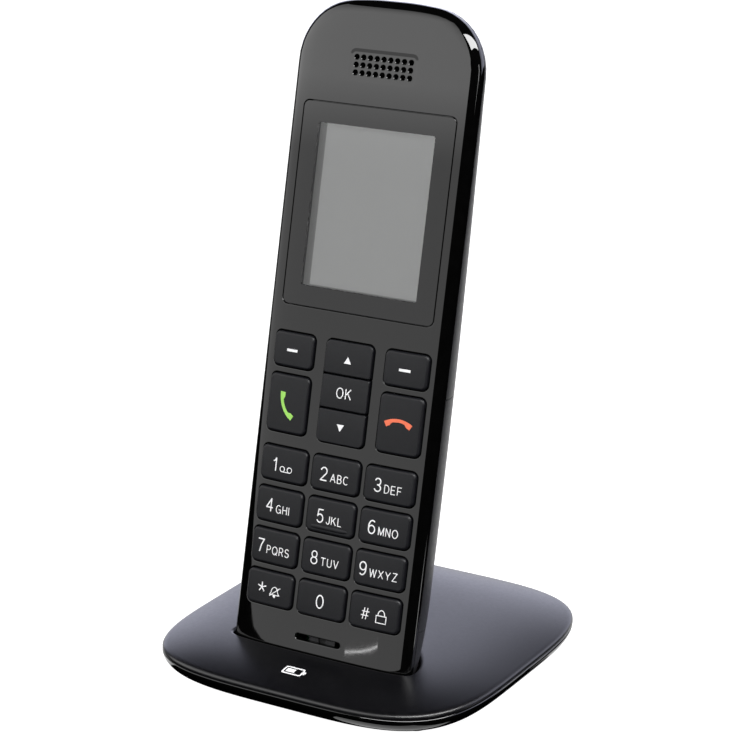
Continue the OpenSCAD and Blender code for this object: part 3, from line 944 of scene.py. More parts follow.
def close_edge(skin, outer_zs, inner_zs):
    """Flat face on the parting plane between the outer and the inner outline."""
    backward = (0, 1, 0)
    for side in (-1, 1):
        outer = [(side * OUTER.half(z), z) for z in outer_zs]
        inner = [(side * INNER.half(z), z) for z in inner_zs]
        loop = outer + list(reversed(inner)) if side > 0 else inner + list(reversed(outer))
        if side > 0:
            for end in (0, -1):
                (ax, az), (bx, bz) = outer[end], inner[end]
                skin.flat([(ax, az), (bx, bz), (-bx, bz), (-ax, az)], PARTING, backward)
        for corners in triangles(loop, [], 1000):
            skin.flat(corners, PARTING, backward)


# ---------------------------------------------------------------- display

def display_lens():
    """Flat-backed lens that follows the face: a black mask round a clear window."""
    skin = Skin()
    shape = centred(LENS_W / 2, LENS_Z, LENS_H / 2, LENS_R)
    window = rounded((-CLEAR_HALF, CLEAR_HALF), CLEAR_Z, 0.5, 0, 3)[0]
    points, outs = shape(0)
    walls = sideways(outs)
    rows, normals = [], []
    for k in range(5):
        t = math.pi / 2 * k / 4
        ring_points = shape(-LENS_EDGE * (1 - math.sin(t)))[0]
        drop = LENS_DROP + LENS_EDGE * (1 - math.cos(t))
        rows.append([(x, OUTER.front_depth(x, z) + drop, z) for x, z in ring_points])
        normals.append([
            (OUTER.normal(OUTER.front_point(x, z)) * math.cos(t) + out * math.sin(t)).normalized()
            for (x, z), out in zip(ring_points, walls)
        ])
    skin.sheet(rows, normals, closed=True)
    back = [(x, OUTER.front_depth(x, z) + LENS_DROP + LENS_THICK, z) for x, z in points]
    skin.strip(rows[-1], back, walls, walls, closed=True)
    front_edge, _ = shape(-LENS_EDGE)
    for drop, boundary, flip in ((LENS_DROP, front_edge, 1), (LENS_DROP + LENS_THICK, points, -1)):
        for outline, holes, slot in ((boundary, [window], 0), (window, [], 1 if flip > 0 else 2)):
            for corners in triangles(outline, holes, FACE_PITCH):
                spots = [(x, OUTER.front_depth(x, z) + drop, z) for x, z in corners]
                ups = [OUTER.normal(OUTER.front_point(x, z)) * flip for x, z in corners]
                skin.face(spots, ups, slot)
    obj = skin.build("lens_pane", [LENS_BLACK, CLEAR, CLEAR_BACK], DOCK)
    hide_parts("display_lens")
    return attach(obj, "handset")


def lcd_panel():
    """Display glass: a grey active area in a darker frame, and a rounded edge."""
    skin = Skin()
    top, low = 2.25, 3.75
    outer, outs = rounded((-17.8, 17.8), (85.0, 130.0), 0.4, 0, 3, 40)
    picture = rounded(LCD_X, LCD_Z, 0.05, 0, 1, 40)[0]
    sides = sideways(outs)
    skin.strip([(x, top, z) for x, z in outer], [(x, low, z) for x, z in outer], sides, sides, closed=True)
    for outline, holes, slot in ((outer, [picture], 0), (picture, [], 1)):
        for corners in triangles(outline, holes, 6):
            skin.flat(corners, top, (0, -1, 0), slot)
    for corners in triangles(outer, [], 6):
        skin.flat(corners, low, (0, 1, 0))
    obj = skin.build("lcd_glass", [LCD_FRAME, LCD_ACTIVE], DOCK)
    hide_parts("lcd_panel")
    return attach(obj, "handset")


# ---------------------------------------------------------------- keys

SHOULDER = 0.6
SHOULDER_DEPTH = 0.38
CAP_CROWN = 0.16
LIP = 0.45
LIP_Y = (2.5, 3.0)
NAV_SHOULDER = (0.3, 0.22)


class Cap:
    """A key cap: where it is, and its gently crowned top, which follows the face."""

    def __init__(self, x, z, r):
        self.x = (x[0] + KEY_GAP, x[1] - KEY_GAP)
        self.z = (z[0] + KEY_GAP, z[1] - KEY_GAP)
        self.r = r
        self.mid_x = (self.x[0] + self.x[1]) / 2
        self.mid_z = (self.z[0] + self.z[1]) / 2

    def top(self, x, z):
        u = (x - self.mid_x) / (self.x[1] - self.mid_x)
        v = (z - self.mid_z) / (self.z[1] - self.mid_z)
        follow = OUTER.front_depth(x, z)
        return follow - KEY_PROUD + CAP_CROWN * (u * u + v * v) / 2

    def normal(self, x, z):
        h = 0.02
        slope_x = (self.top(x + h, z) - self.top(x - h, z)) / (2 * h)
        slope_z = (self.top(x, z + h) - self.top(x, z - h)) / (2 * h)
        return Vector((slope_x, -1, slope_z)).normalized()

    def outline(self, grow):
        return rounded(self.x, self.z, self.r, grow, 6, 2.0)


def key_cap(name, cap):
    """One key: crowned top, rounded shoulder, and below the face a lip that stops it."""
    skin = Skin()
    points, outs = cap.outline(0)
    walls = sideways(outs)
    steps = 7
    shoulder, drop = NAV_SHOULDER if name in NAV_KEYS else (SHOULDER, SHOULDER_DEPTH)
    rows, normals = [], []
    for k in range(steps + 1):
        t = math.pi / 2 * k / steps
        ring_points = cap.outline(-shoulder * (1 - math.sin(t)))[0]
        rows.append([(x, cap.top(x, z) + drop * (1 - math.cos(t)), z) for x, z in ring_points])
        normals.append([
            (cap.normal(x, z) * math.cos(t) / drop + out * math.sin(t) / shoulder).normalized()
            for (x, z), out in zip(ring_points, walls)
        ])
    skin.sheet(rows, normals, closed=True)
    wide = points if name in NAV_KEYS else cap.outline(LIP)[0]
    foot = [(x, LIP_Y[0], z) for x, z in points]
    flange = [(x, LIP_Y[0], z) for x, z in wide]
    skin.strip(rows[-1], foot, walls, walls, closed=True)
    skin.strip(foot, flange, closed=True, outward=(0, -1, 0))
    skin.strip(flange, [(x, LIP_Y[1], z) for x, z in wide], walls, walls, closed=True)
    for corners in triangles(cap.outline(-shoulder)[0], [], 1.6):
        skin.face([(x, cap.top(x, z), z) for x, z in corners], [cap.normal(x, z) for x, z in corners])
    for corners in triangles(wide, [], 50):
        skin.flat(corners, LIP_Y[1], (0, 1, 0))
    obj = skin.build(name + "_top", [KEY_BLACK], DOCK)
    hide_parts(name)
    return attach(obj, name + "_cap")


# ---------------------------------------------------------------- legends

INK = 0.02
LETTER_GAP = 0.28
LEGEND_SHIFT = 0.1
LEGEND_DROP = 5.95
DIGIT_H = 3.3
DIGIT_PEN = 0.29
DIGIT_SCALE = 3.25
LETTER_H = 2.05
LETTER_PEN = 0.2
LETTER_SCALE = 2.1
WORD_SPACE = 0.8
ICON_PEN = 0.2
RING_R = 0.72


def print_flat(name, shapes, surface, place, material, body):
    """Thin ink on a surface.

    shapes are (outline, holes) and may overlap. surface gives a point and a normal.
    """
    points, edges = [], []
    for outline, holes in shapes:
        for loop in [outline, *holes]:
            start = len(points)
            points += [Vector(p) for p in loop]
            edges += [(start + i, start + (i + 1) % len(loop)) for i in range(len(loop))]
    spots, _, faces, _, _, _ = delaunay_2d_cdt(points, edges, [], 0, 1e-5)
    skin = Skin()
    borders = {}
    frames = [limits(outline) for outline, _ in shapes]
    for face in faces:
        middle = tuple(sum((spots[i] for i in face), Vector((0, 0))) / 3)
        near = [shape for shape, frame_box in zip(shapes, frames) if in_limits(middle, frame_box)]
        if not any(inside(middle, o) and not any(inside(middle, h) for h in hs) for o, hs in near):
            continue
        tops, lows, ups = [], [], []
        for i in face:
            p, up = surface(*spots[i])
            tops.append(tuple(Vector(p) + up * INK))
            lows.append(tuple(Vector(p) - up * INK / 2))
            ups.append(up)
        skin.face(tops, ups)
        skin.face(lows, [-up for up in ups])
        for i in range(3):
            j = (i + 1) % 3
            edge = tuple(sorted((face[i], face[j])))
            borders.setdefault(edge, []).append(([tops[i], tops[j], lows[j], lows[i]], tops[(i + 2) % 3]))
    for found in borders.values():
        if len(found) == 1:
            corners, across = found[0]
            middle = (Vector(corners[0]) + Vector(corners[1])) / 2
            skin.face(corners, outward=middle - Vector(across))
    obj = skin.build(name, [material], place)
    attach(obj, body)
    return obj


def bow(x, y, rx, ry, start, stop, steps=12):
    """Points of an elliptical arc between two angles in degrees."""
    points = []
    for i in range(steps + 1):
        a = math.radians(start + (stop - start) * i / steps)
        points.append((x + rx * math.cos(a), y + ry * math.sin(a)))
    return points


def glyph(sign):
    """Pen lines of a plain sans-serif sign whose capitals are one unit high."""
    loop_p = [(.06, 0), (.06, 1), (.30, 1), *bow(.30, .74, .22, .26, 90, -90), (.06, .48)]
    lines = {
        "0": [bow(.29, .5, .25, .5, 0, 360, 24)],
        "1": [[(.06, .76), (.20, .81), (.30, 1), (.30, 0)]],
        "2": [[*bow(.29, .72, .24, .28, 170, -38), (.04, 0), (.55, 0)]],
        "3": [[*bow(.28, .75, .22, .25, 165, -90), (.22, .5)], bow(.28, .25, .25, .25, 90, -165)],
        "4": [[(.42, 0), (.42, 1), (.03, .31), (.58, .31)]],
        "5": [[(.51, 1), (.14, 1), (.08, .49), *bow(.28, .32, .25, .32, 130, -155)]],
        "6": [bow(.29, .31, .25, .31, 0, 360, 24), [*bow(.32, .52, .28, .48, 52, 180), (.04, .31)]],
        "7": [[(.04, 1), (.55, 1), (.33, .52), (.22, 0)]],
        "8": [bow(.29, .75, .21, .25, 0, 360, 24), bow(.29, .26, .25, .26, 0, 360, 24)],
        "9": [bow(.29, .69, .25, .31, 0, 360, 24), [*bow(.26, .48, .28, .48, -128, 0), (.54, .69)]],
        "A": [[(0, 0), (.31, 1), (.62, 0)], [(.11, .34), (.51, .34)]],
        "B": [[(.06, 0), (.06, 1), (.29, 1), *bow(.29, .76, .2, .24, 90, -90), (.06, .52)],
              [(.29, .52), *bow(.31, .26, .23, .26, 90, -90), (.06, 0)]],
        "C": [bow(.35, .5, .3, .5, 48, 312, 18)],
        "D": [[(.06, 0), (.06, 1), (.26, 1), *bow(.26, .5, .33, .5, 90, -90), (.06, 0)]],
        "E": [[(.52, 1), (.06, 1), (.06, 0), (.54, 0)], [(.06, .52), (.48, .52)]],
        "F": [[(.52, 1), (.06, 1), (.06, 0)], [(.06, .52), (.46, .52)]],
        "G": [bow(.35, .5, .3, .5, 48, 325, 18), [(.38, .46), (.64, .46), (.64, 0)]],
        "H": [[(.06, 0), (.06, 1)], [(.57, 0), (.57, 1)], [(.06, .52), (.57, .52)]],
        "I": [[(.06, 0), (.06, 1)]],
        "J": [[(.4, 1), (.4, .26), *bow(.22, .24, .18, .24, 0, -180)]],
        "K": [[(.06, 0), (.06, 1)], [(.56, 1), (.06, .38)], [(.24, .6), (.6, 0)]],
        "L": [[(.06, 1), (.06, 0), (.5, 0)]],
        "M": [[(.06, 0), (.06, 1), (.37, .06), (.68, 1), (.68, 0)]],
        "N": [[(.06, 0), (.06, 1), (.55, 0), (.55, 1)]],
        "O": [bow(.37, .5, .32, .5, 0, 360, 24)],
        "P": [loop_p],
        "Q": [bow(.37, .5, .32, .5, 0, 360, 24), [(.42, .24), (.67, -.04)]],
        "R": [loop_p, [(.32, .48), (.55, 0)]],
        "S": [[*bow(.29, .75, .22, .25, 22, 270), *bow(.29, .26, .24, .26, 80, -158)]],
        "T": [[(0, 1), (.58, 1)], [(.29, 1), (.29, 0)]],
        "U": [[(.06, 1), (.06, .3), *bow(.31, .27, .25, .27, 180, 360), (.56, 1)]],
        "V": [[(0, 1), (.29, 0), (.58, 1)]],
        "W": [[(0, 1), (.2, 0), (.41, .95), (.62, 0), (.82, 1)]],
        "X": [[(0, 1), (.56, 0)], [(.56, 1), (0, 0)]],
        "Y": [[(0, 1), (.29, .44), (.58, 1)], [(.29, .44), (.29, 0)]],
        "Z": [[(.03, 1), (.53, 1), (.02, 0), (.55, 0)]],
        "#": [[(.17, 0), (.31, 1)], [(.45, 0), (.59, 1)], [(.02, .33), (.68, .33)], [(.08, .68), (.74, .68)]],
    }
    return lines[sign]


def word_shapes(text, left, base, height, pen, scale):
    """Shapes of a word with its left end and baseline in place; scale stretches it along the line."""
    lines = []
    run = 0.0
    for sign in text:
        strokes = glyph(sign)
        first = min(p[0] for line in strokes for p in line)
        lines += [[(p[0] - first + run, p[1]) for p in line] for line in strokes]
        run = max(p[0] for line in lines for p in line) + LETTER_GAP
    shapes = []
    for line in lines:
        points = [(left + pen / 2 + p[0] * scale, base + pen / 2 + p[1] * (height - pen)) for p in line]
        closed = math.dist(points[0], points[-1]) < 0.01
        shapes += stroke(points[:-1] if closed else points, pen, closed)
    return shapes


def stroke(points, width, closed=False):
    """Line of even width as shapes: ribbons along its gentle runs, and a disc at each sharp corner."""
    spots = [Vector(p) for p in points]
    if closed:
        spots = spots + spots[:2]
    runs, run, discs = [], [spots[0]], []
    for before, here, after in zip(spots, spots[1:], spots[2:]):
        run.append(here)
        if (here - before).angle(after - here, 0) > math.radians(40):
            runs.append(run)
            run = [here]
            discs.append(here)
    if not closed:
        run.append(spots[-1])
    runs.append(run)
    smooth_ring = closed and not discs
    shapes = [(circle(d.x, d.y, width / 2, 0, 12)[0], []) for d in discs]
    for run in runs:
        if len(run) < 2:
            continue
        sides = []
        for i, p in enumerate(run):
            ahead = run[min(i + 1, len(run) - 1)] - run[max(i - 1, 0)]
            if smooth_ring and i in (0, len(run) - 1):
                ahead = run[1] - run[-2]
            across = Vector((-ahead.y, ahead.x)).normalized() * width / 2
            sides.append((p + across, p - across))
        left = [tuple(a) for a, _ in sides]
        right = [tuple(b) for _, b in sides]
        if smooth_ring:
            outer, inner = (left, right) if abs(area(left)) > abs(area(right)) else (right, left)
            shapes.append((outer[:-1], [inner[:-1]]))
        else:
            shapes.append((left + right[::-1], []))
    return shapes


def area(loop):
    """Signed area of a closed outline."""
    return sum(loop[i - 1][0] * loop[i][1] - loop[i][0] * loop[i - 1][1] for i in range(len(loop))) / 2


def ring(x, z, r, width):
    return [(circle(x, z, r, 0, 20)[0], [circle(x, z, r - width, 0, 20)[0]])]


def handset_icon(x, z, span, turn):
    """Telephone handset: a bow with a thicker lobe at each end."""
    steps = 24
    sweep = math.radians(62)
    radius = span / 2 / math.sin(sweep / 2)
    lift = (radius + radius * math.cos(sweep / 2)) / 2
    top, low = [], []
    for i in range(steps + 1):
        u = 2 * i / steps - 1
        a = math.pi / 2 - u * sweep / 2
        lobe = max(0, abs(u) - 0.45) / 0.55
        thick = span * (0.11 + 0.07 * math.sin(math.pi / 2 * min(1, lobe * 2.0)) ** 2)
        top.append((radius * math.cos(a), radius * math.sin(a) - lift))
        low.append(((radius - thick) * math.cos(a), (radius - thick) * math.sin(a) - lift))
    cos, sin = math.cos(turn), math.sin(turn)
    return [([(x + u * cos - v * sin, z + u * sin + v * cos) for u, v in top + low[::-1]], [])]


def bell_icon(x, z, size):
    """A bell struck through by a slanted bar."""
    side = [(-0.5, -0.30), (-0.36, -0.10), (-0.30, 0.18), (-0.16, 0.36), (0, 0.42)]
    right = [(-u, v) for u, v in reversed(side[:-1])]
    shapes = stroke([(x + u * size, z + v * size) for u, v in side + right], ICON_PEN, closed=True)
    shapes.append((circle(x, z - 0.42 * size, 0.13 * size)[0], []))
    bar = [(x - 0.52 * size, z - 0.44 * size), (x + 0.56 * size, z + 0.40 * size)]
    return shapes + stroke(bar, ICON_PEN)


def lock_icon(x, z, size):
    """A padlock: an open-topped bow over a box."""
    arch = bow(x, z + 0.15 * size, 0.3 * size, 0.42 * size, 0, 180, 9)
    left, right, low, high = x - 0.45 * size, x + 0.45 * size, z - 0.5 * size, z + 0.1 * size
    box = [(left, high), (right, high), (right, low), (left, low)]
    return stroke(arch, ICON_PEN) + stroke(box, ICON_PEN, closed=True)


def triangle_icon(x, z, height):
    """Arrow head that points up, or down when its height is negative."""
    return [([(x - 0.95, z - height / 2), (x + 0.95, z - height / 2), (x, z + height / 2)], [])]


def star_icon(x, z, r, width):
    """Five-armed star of pen lines."""
    shapes = []
    for k in range(5):
        a = math.radians(90 + 72 * k)
        tip = (x + (r - width / 2) * math.cos(a), z + (r - width / 2) * math.sin(a))
        shapes += stroke([(x, z), tip], width)
    return shapes


def word_width(text, scale):
    """Width of a word's pen lines at this scale."""
    total = LETTER_GAP * (len(text) - 1)
    for sign in text:
        xs = [p[0] for line in glyph(sign) for p in line]
        total += max(xs) - min(xs)
    return scale * total


def pair(cap, digit, letters, base):
    """A digit with its letters after it, the two centred on the cap."""
    digit_w = word_width(digit, DIGIT_SCALE) + DIGIT_PEN
    letter_w = word_width(letters, LETTER_SCALE) + LETTER_PEN
    left = cap.mid_x - LEGEND_SHIFT - (digit_w + WORD_SPACE + letter_w) / 2
    shapes = word_shapes(digit, left, base, DIGIT_H, DIGIT_PEN, DIGIT_SCALE)
    return shapes + word_shapes(letters, left + digit_w + WORD_SPACE, base, LETTER_H, LETTER_PEN, LETTER_SCALE)


def tape_icon(x, base):
    """Two reels on a line, for messages."""
    shapes = ring(x + 0.1, base + 0.85, RING_R, ICON_PEN) + ring(x + 2.1, base + 0.85, RING_R, ICON_PEN)
    return shapes + stroke([(x + 0.1, base + 0.23), (x + 2.1, base + 0.23)], ICON_PEN)


def legend_shapes(name, cap):
    """What is printed on a key, as shapes on its top."""
    words = {"key_2": "ABC", "key_3": "DEF", "key_4": "GHI", "key_5": "JKL", "key_6": "MNO",
             "key_7": "PQRS", "key_8": "TUV", "key_9": "WXYZ"}
    x, z = cap.mid_x, cap.mid_z
    middle, base = x - LEGEND_SHIFT, cap.z[1] - LEGEND_DROP
    if name in words:
        return pair(cap, name[-1], words[name], base + 0.15)
    if name == "key_1":
        return word_shapes("1", middle - 2.7, base, DIGIT_H, DIGIT_PEN, DIGIT_SCALE) + tape_icon(middle, base)
    if name == "key_0":
        return word_shapes("0", middle - 1.05, base, DIGIT_H, DIGIT_PEN, 3.6)
    if name == "key_star":
        return star_icon(middle - 1.9, base + 1.95, 1.35, 0.28) + bell_icon(middle + 1.75, base + 1.45, 2.6)
    if name == "key_hash":
        return word_shapes("#", middle - 3.2, base, 2.9, LETTER_PEN, 2.9) + lock_icon(middle + 2.1, base + 1.3, 2.8)
    if name == "nav_up_key":
        return triangle_icon(x, z - 0.3, 1.6)
    if name == "nav_down_key":
        return triangle_icon(x, z, -1.6)
    if name == "ok_key":
        return word_shapes("OK", middle - 1.95, z - 1.3, 2.6, 0.24, 2.6)
    if name == "call_key":
        return handset_icon(x - 0.7, z - 0.7, 7.3, math.radians(118))
    if name == "end_key":
        return handset_icon(x - 0.2, z + 0.9, 7.2, 0)
    return stroke([(middle - 1.45, z - 0.1), (middle + 1.45, z - 0.1)], 0.62)


def key_legends(caps):
    """Digits, letters and symbols on the keys."""
    tinted = {"call_key": LEGEND_GREEN, "end_key": LEGEND_RED}
    for name, cap in caps.items():
        surface = lambda x, z, cap=cap: ((x, cap.top(x, z), z), cap.normal(x, z))
        ink = tinted.get(name, LEGEND_WHITE)
        print_flat(name + "_legend", legend_shapes(name, cap), surface, DOCK, ink, name + "_cap")


BAR_HALF = 4.9
BAR_WIDE = 0.55
BAR_HIGH = 0.2
BAR_UP = 1.35
BAR_SINK = 0.02


def tactile_bar(cap):
    """Raised bar across the lower part of the middle key."""
    along, around = 32, 8
    rows, normals = [], []
    for i in range(along + 1):
        share = math.sin((2 * i / along - 1) * math.pi / 2)
        x = cap.mid_x + BAR_HALF * share
        size = math.sqrt(max(0.02, 1 - abs(share) ** 8))
        row, ups = [], []
        for j in range(around + 1):
            t = math.pi * j / around
            z = cap.z[0] + BAR_UP + BAR_WIDE * math.cos(t) * size
            row.append((x, cap.top(x, z) - BAR_HIGH * math.sin(t) * size + BAR_SINK, z))
            ups.append(Vector((0, -math.sin(t) / BAR_HIGH, math.cos(t) / BAR_WIDE)).normalized())
        rows.append(row)
        normals.append(ups)
    skin = Skin()
    skin.sheet(rows, normals)
    for before, after in zip(rows, rows[1:]):
        skin.strip((before[0], before[-1]), (after[0], after[-1]), outward=(0, 1, 0))
    skin.face(rows[0], outward=(-1, 0, 0))
    skin.face(rows[-1], outward=(1, 0, 0))
    obj = skin.build("key_5_bar", [KEY_BLACK], DOCK)
    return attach(obj, "key_5_cap")


def keypad():
    """All key caps with their legends, and the bar on the middle key."""
    caps = {name: Cap(x, z, r - KEY_GAP) for name, (x, z, r) in key_openings().items()}
    third = (NAV_Z[1] - NAV_Z[0]) / 3
    for i, name in enumerate(NAV_KEYS):
        low = NAV_Z[0] + i * third + (NAV_SPLIT / 2 - KEY_GAP if i > 0 else 0)
        high = NAV_Z[0] + (i + 1) * third - (NAV_SPLIT / 2 - KEY_GAP if i < 2 else 0)
        upper = NAV_R - KEY_GAP if i == 2 else NAV_INNER_R
        lower = NAV_R - KEY_GAP if i == 0 else NAV_INNER_R
        caps[name] = Cap((-NAV_HALF, NAV_HALF), (low, high), (upper, upper, lower, lower))
    for name, cap in caps.items():
        key_cap(name, cap)
    key_legends(caps)
    tactile_bar(caps["key_5"])


# ---------------------------------------------------------------- rear shell and battery door

EDGE_Y = PARTING + 0.22
AROUND = 48
LEVEL_Z = 75.0
SLOT_HALF = (4.5, 0.6)
SLOT_Z = 112
SLOT_PITCH = 2.6
DOOR_GAP = 0.15
NOTCH_R = 3.4
SPRING_Y = 14.3
SPRING_TURNS = 3.5
SPRING_WIRE = 0.22


def seam_height(form, angle, shift=0.0):
    """Height of the door's tilted upper edge at this place of the section."""
    z = DOOR_Z[1]
    for _ in range(6):
        depth = form.ring_point(angle, z)[1]
        z = DOOR_Z[1] + shift / math.cos(DOOR_TILT) + (depth - PARTING) * math.tan(DOOR_TILT)
    return z


def back_row(form, heights):
    """Half section round the back, with a height for each of its points."""
    row = []
    for i in range(AROUND + 1):
        angle = math.pi * i / AROUND
        x, y, z = form.ring_point(angle, heights(angle))
        row.append((x, max(y, EDGE_Y), z))
    return row


def back_solid(name, outer_rows, inner_rows):
    """Closed shell between two sets of rows, each from its lower to its upper edge."""
    skin = Skin()
    for rows, form, flip in ((outer_rows, OUTER, 1), (inner_rows, INNER, -1)):
        skin.sheet(rows, [[form.normal(p) * flip for p in row] for row in rows])
    for end in (0, -1):
        aim = (0, 0, -1 if end == 0 else 1)
        gap = abs(outer_rows[end][0][2] - inner_rows[end][0][2])
        if gap < 0.5:
            skin.strip(outer_rows[end], inner_rows[end], outward=aim)
        else:
            skin.face(outer_rows[end], outward=aim)
            skin.face(inner_rows[end], outward=(0, 0, -aim[2]))
            corners = [outer_rows[end][0], outer_rows[end][-1], inner_rows[end][-1], inner_rows[end][0]]
            skin.face(corners, outward=(0, -1, 0))
    for side in (0, -1):
        outer_edge = [row[side] for row in outer_rows]
        inner_edge = [row[side] for row in inner_rows]
        skin.strip(outer_edge, inner_edge, outward=(0, -1, 0))
    return skin.build(name, [SATIN_BLACK], DOCK)


def upper_rows(form):
    """Half sections from the door's seam to the upper end, level from LEVEL_Z up."""
    heights = []
    for k in range(5):
        heights.append(lambda a, k=k: seam_height(form, a) + (LEVEL_Z - seam_height(form, a)) * k / 4)
    for z in [*spread(LEVEL_Z, ARC_Z - 3, 16)[1:], *top_stations(form, ARC_Z)]:
        heights.append(lambda a, z=z: z)
    return [back_row(form, h) for h in heights]


def heel_rows(form):
    """Half sections from the lower end to the door."""
    low = [form.low + (BOTTOM_R - form.low) * (1 - math.cos(math.pi / 2 * i / 6)) for i in range(6)]
    return [back_row(form, lambda a, z=z: z) for z in low + spread(BOTTOM_R, DOOR_Z[0], 5)]


def satin_part(obj, node, body):
    """Finishes a satin shell piece."""
    smooth_by_angle(obj)
    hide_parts(node)
    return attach(obj, body)


def rear_shell():
    """Upper back with the loudspeaker's slots, heel with screw wells, and the battery bay."""
    upper = back_solid("rear_shell_upper", upper_rows(OUTER), upper_rows(INNER))
    half_x, half_z = SLOT_HALF
    slots = []
    for k in range(-2, 3):
        z = SLOT_Z + k * SLOT_PITCH
        slots.append(box_cutter((-half_x, half_x), (12, 25), (z - half_z, z + half_z), DOCK))
        for side in (-1, 1):
            slots.append(round_cutter((side * half_x, 18, z), half_z, 14, DOCK, "Y", 20))
    satin_part(cut(upper, slots), "rear_shell", "handset")

    heel = back_solid("rear_shell_heel", heel_rows(OUTER), heel_rows(INNER))
    wells = [round_cutter((side * 16, 18, 9.2), 1.9, 18, DOCK, "Y", 32) for side in (-1, 1)]
    pads = [box_cutter((side * 9 - 1.9, side * 9 + 1.9), (4.1, 8.7), (-1, 1), DOCK) for side in (-1, 1)]
    satin_part(cut(heel, wells + pads), "rear_shell", "handset")

    # battery bay inside the shell: floor, end walls, the cradle between the cells and side walls
    blocks = [
        ((-20.4, 20.4), (8.7, 9.8), (12.6, 69.4)),
        ((-12.3, 12.3), (9.6, 18), (12.6, 14.6)),
        ((-12.3, 12.3), (9.6, 18), (65.2, 66.4)),
        ((-12.3, -11.3), (9.6, 15), (17, 61)),
        ((11.3, 12.3), (9.6, 15), (17, 61)),
        ((-20.5, -19.3), (7.2, 14), (12.6, 69.4)),
        ((19.3, 20.5), (7.2, 14), (12.6, 69.4)),
    ]
    bay = box_cutter(*blocks[0], DOCK)
    cut(bay, [box_cutter(*block, DOCK) for block in blocks[1:]], "UNION")
    bay.name = "battery_bay"
    bay.data.materials.append(SATIN_BLACK)
    satin_part(add_bevel(bay, 0.15), "rear_shell", "handset")




def door_rows(form):
    """Half sections of the door, from its lower edge to its tilted upper edge."""
    low = DOOR_Z[0] + DOOR_GAP
    return [
        back_row(form, lambda a, k=k: low + (seam_height(form, a, -DOOR_GAP) - low) * k / 22)
        for k in range(23)
    ]


def battery_door():
    """Lower back that lifts off, with a finger notch at its lower edge."""
    door = back_solid("door_panel", door_rows(OUTER), door_rows(INNER))
    bm = bmesh.new()
    bmesh.ops.create_uvsphere(bm, u_segments=40, v_segments=24, radius=NOTCH_R * MM)
    bmesh.ops.translate(bm, verts=bm.verts, vec=Vector((0, back_at(DOOR_Z[0]) + 2, DOOR_Z[0])) * MM)
    satin_part(cut(door, [from_bmesh("cutter", bm, place=DOCK)]), "battery_door", "door")


def coil_spring(name, x, z_span, r_span):
    """Conical battery spring wound from round wire."""
    data = bpy.data.curves.new(name, "CURVE")
    data.dimensions = "3D"
    data.bevel_depth = SPRING_WIRE * MM
    data.bevel_resolution = 2
    line = data.splines.new("POLY")
    steps = 96
    line.points.add(steps)
    for i, z, r in zip(range(steps + 1), spread(*z_span, steps), spread(*r_span, steps)):
        a = 2 * math.pi * SPRING_TURNS * i / steps
        spot = Vector((x + r * math.cos(a), SPRING_Y + r * math.sin(a), z)) * MM
        line.points[i].co = (*(DOCK @ spot), 1)
    coil = bpy.data.objects.new(name, data)
    bpy.context.scene.collection.objects.link(coil)
    graph = bpy.context.evaluated_depsgraph_get()
    mesh = bpy.data.meshes.new_from_object(coil.evaluated_get(graph))
    bpy.data.objects.remove(coil)
    obj = blank_object(name, mesh, [BRIGHT_METAL])
    smooth_by_angle(obj, 60)
    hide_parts("battery_springs")
    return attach(obj, "handset")


# ---------------------------------------------------------------- base

def ground(p):
    """A handset point in the row frame, in millimetres."""
    return tuple(c / MM for c in DOCK @ (Vector(p) * MM))


def turned(direction):
    """A handset direction in the row frame."""
    return (DOCK.to_3x3() @ direction).normalized()


def pocket_point(form, angle, wall):
    """Where the pocket's wall meets the crown, in the handset's frame."""
    z = 5.0
    for _ in range(14):
        p = form.ring_point(angle, z)
        x, y, height = ground(p)
        z += (dome_height(x, y, wall) - height) / math.cos(LEAN)
    return form.ring_point(angle, z)


def outline_normals(outline):
    return [Vector((x**3, y**3, 0)).normalized() for x, y in outline]


def rim_rows(profile, skin, flip=1.0):
    """Rings of the base outline at each (inset, height) of a smooth profile."""
    rows, normals = [], []
    for k, (inset, height) in enumerate(profile):
        before, after = profile[max(0, k - 1)], profile[min(len(profile) - 1, k + 1)]
        run = Vector((after[0] - before[0], after[1] - before[1])).normalized()
        outline = base_outline(inset)
        rows.append([(x, y, height) for x, y in outline])
        normals.append([
            (out * run.y + Vector((0, 0, run.x))).normalized() * flip for out in outline_normals(outline)
        ])
    skin.sheet(rows, normals, closed=True)
    return rows


def bezier(a, b, c, d, steps):
    """Points of a cubic curve in the plane."""
    points = []
    for i in range(steps + 1):
        t = i / steps
        s = 1 - t
        points.append(tuple(
            s**3 * a[k] + 3 * s * s * t * b[k] + 3 * s * t * t * c[k] + t**3 * d[k] for k in range(2)
        ))
    return points


POCKET_STEPS = 96
LIP_ROUND = 0.8
RIM_INSET = 0.03 * BASE_HALF
LEAF_WINDOW = (3.0, 11.0)


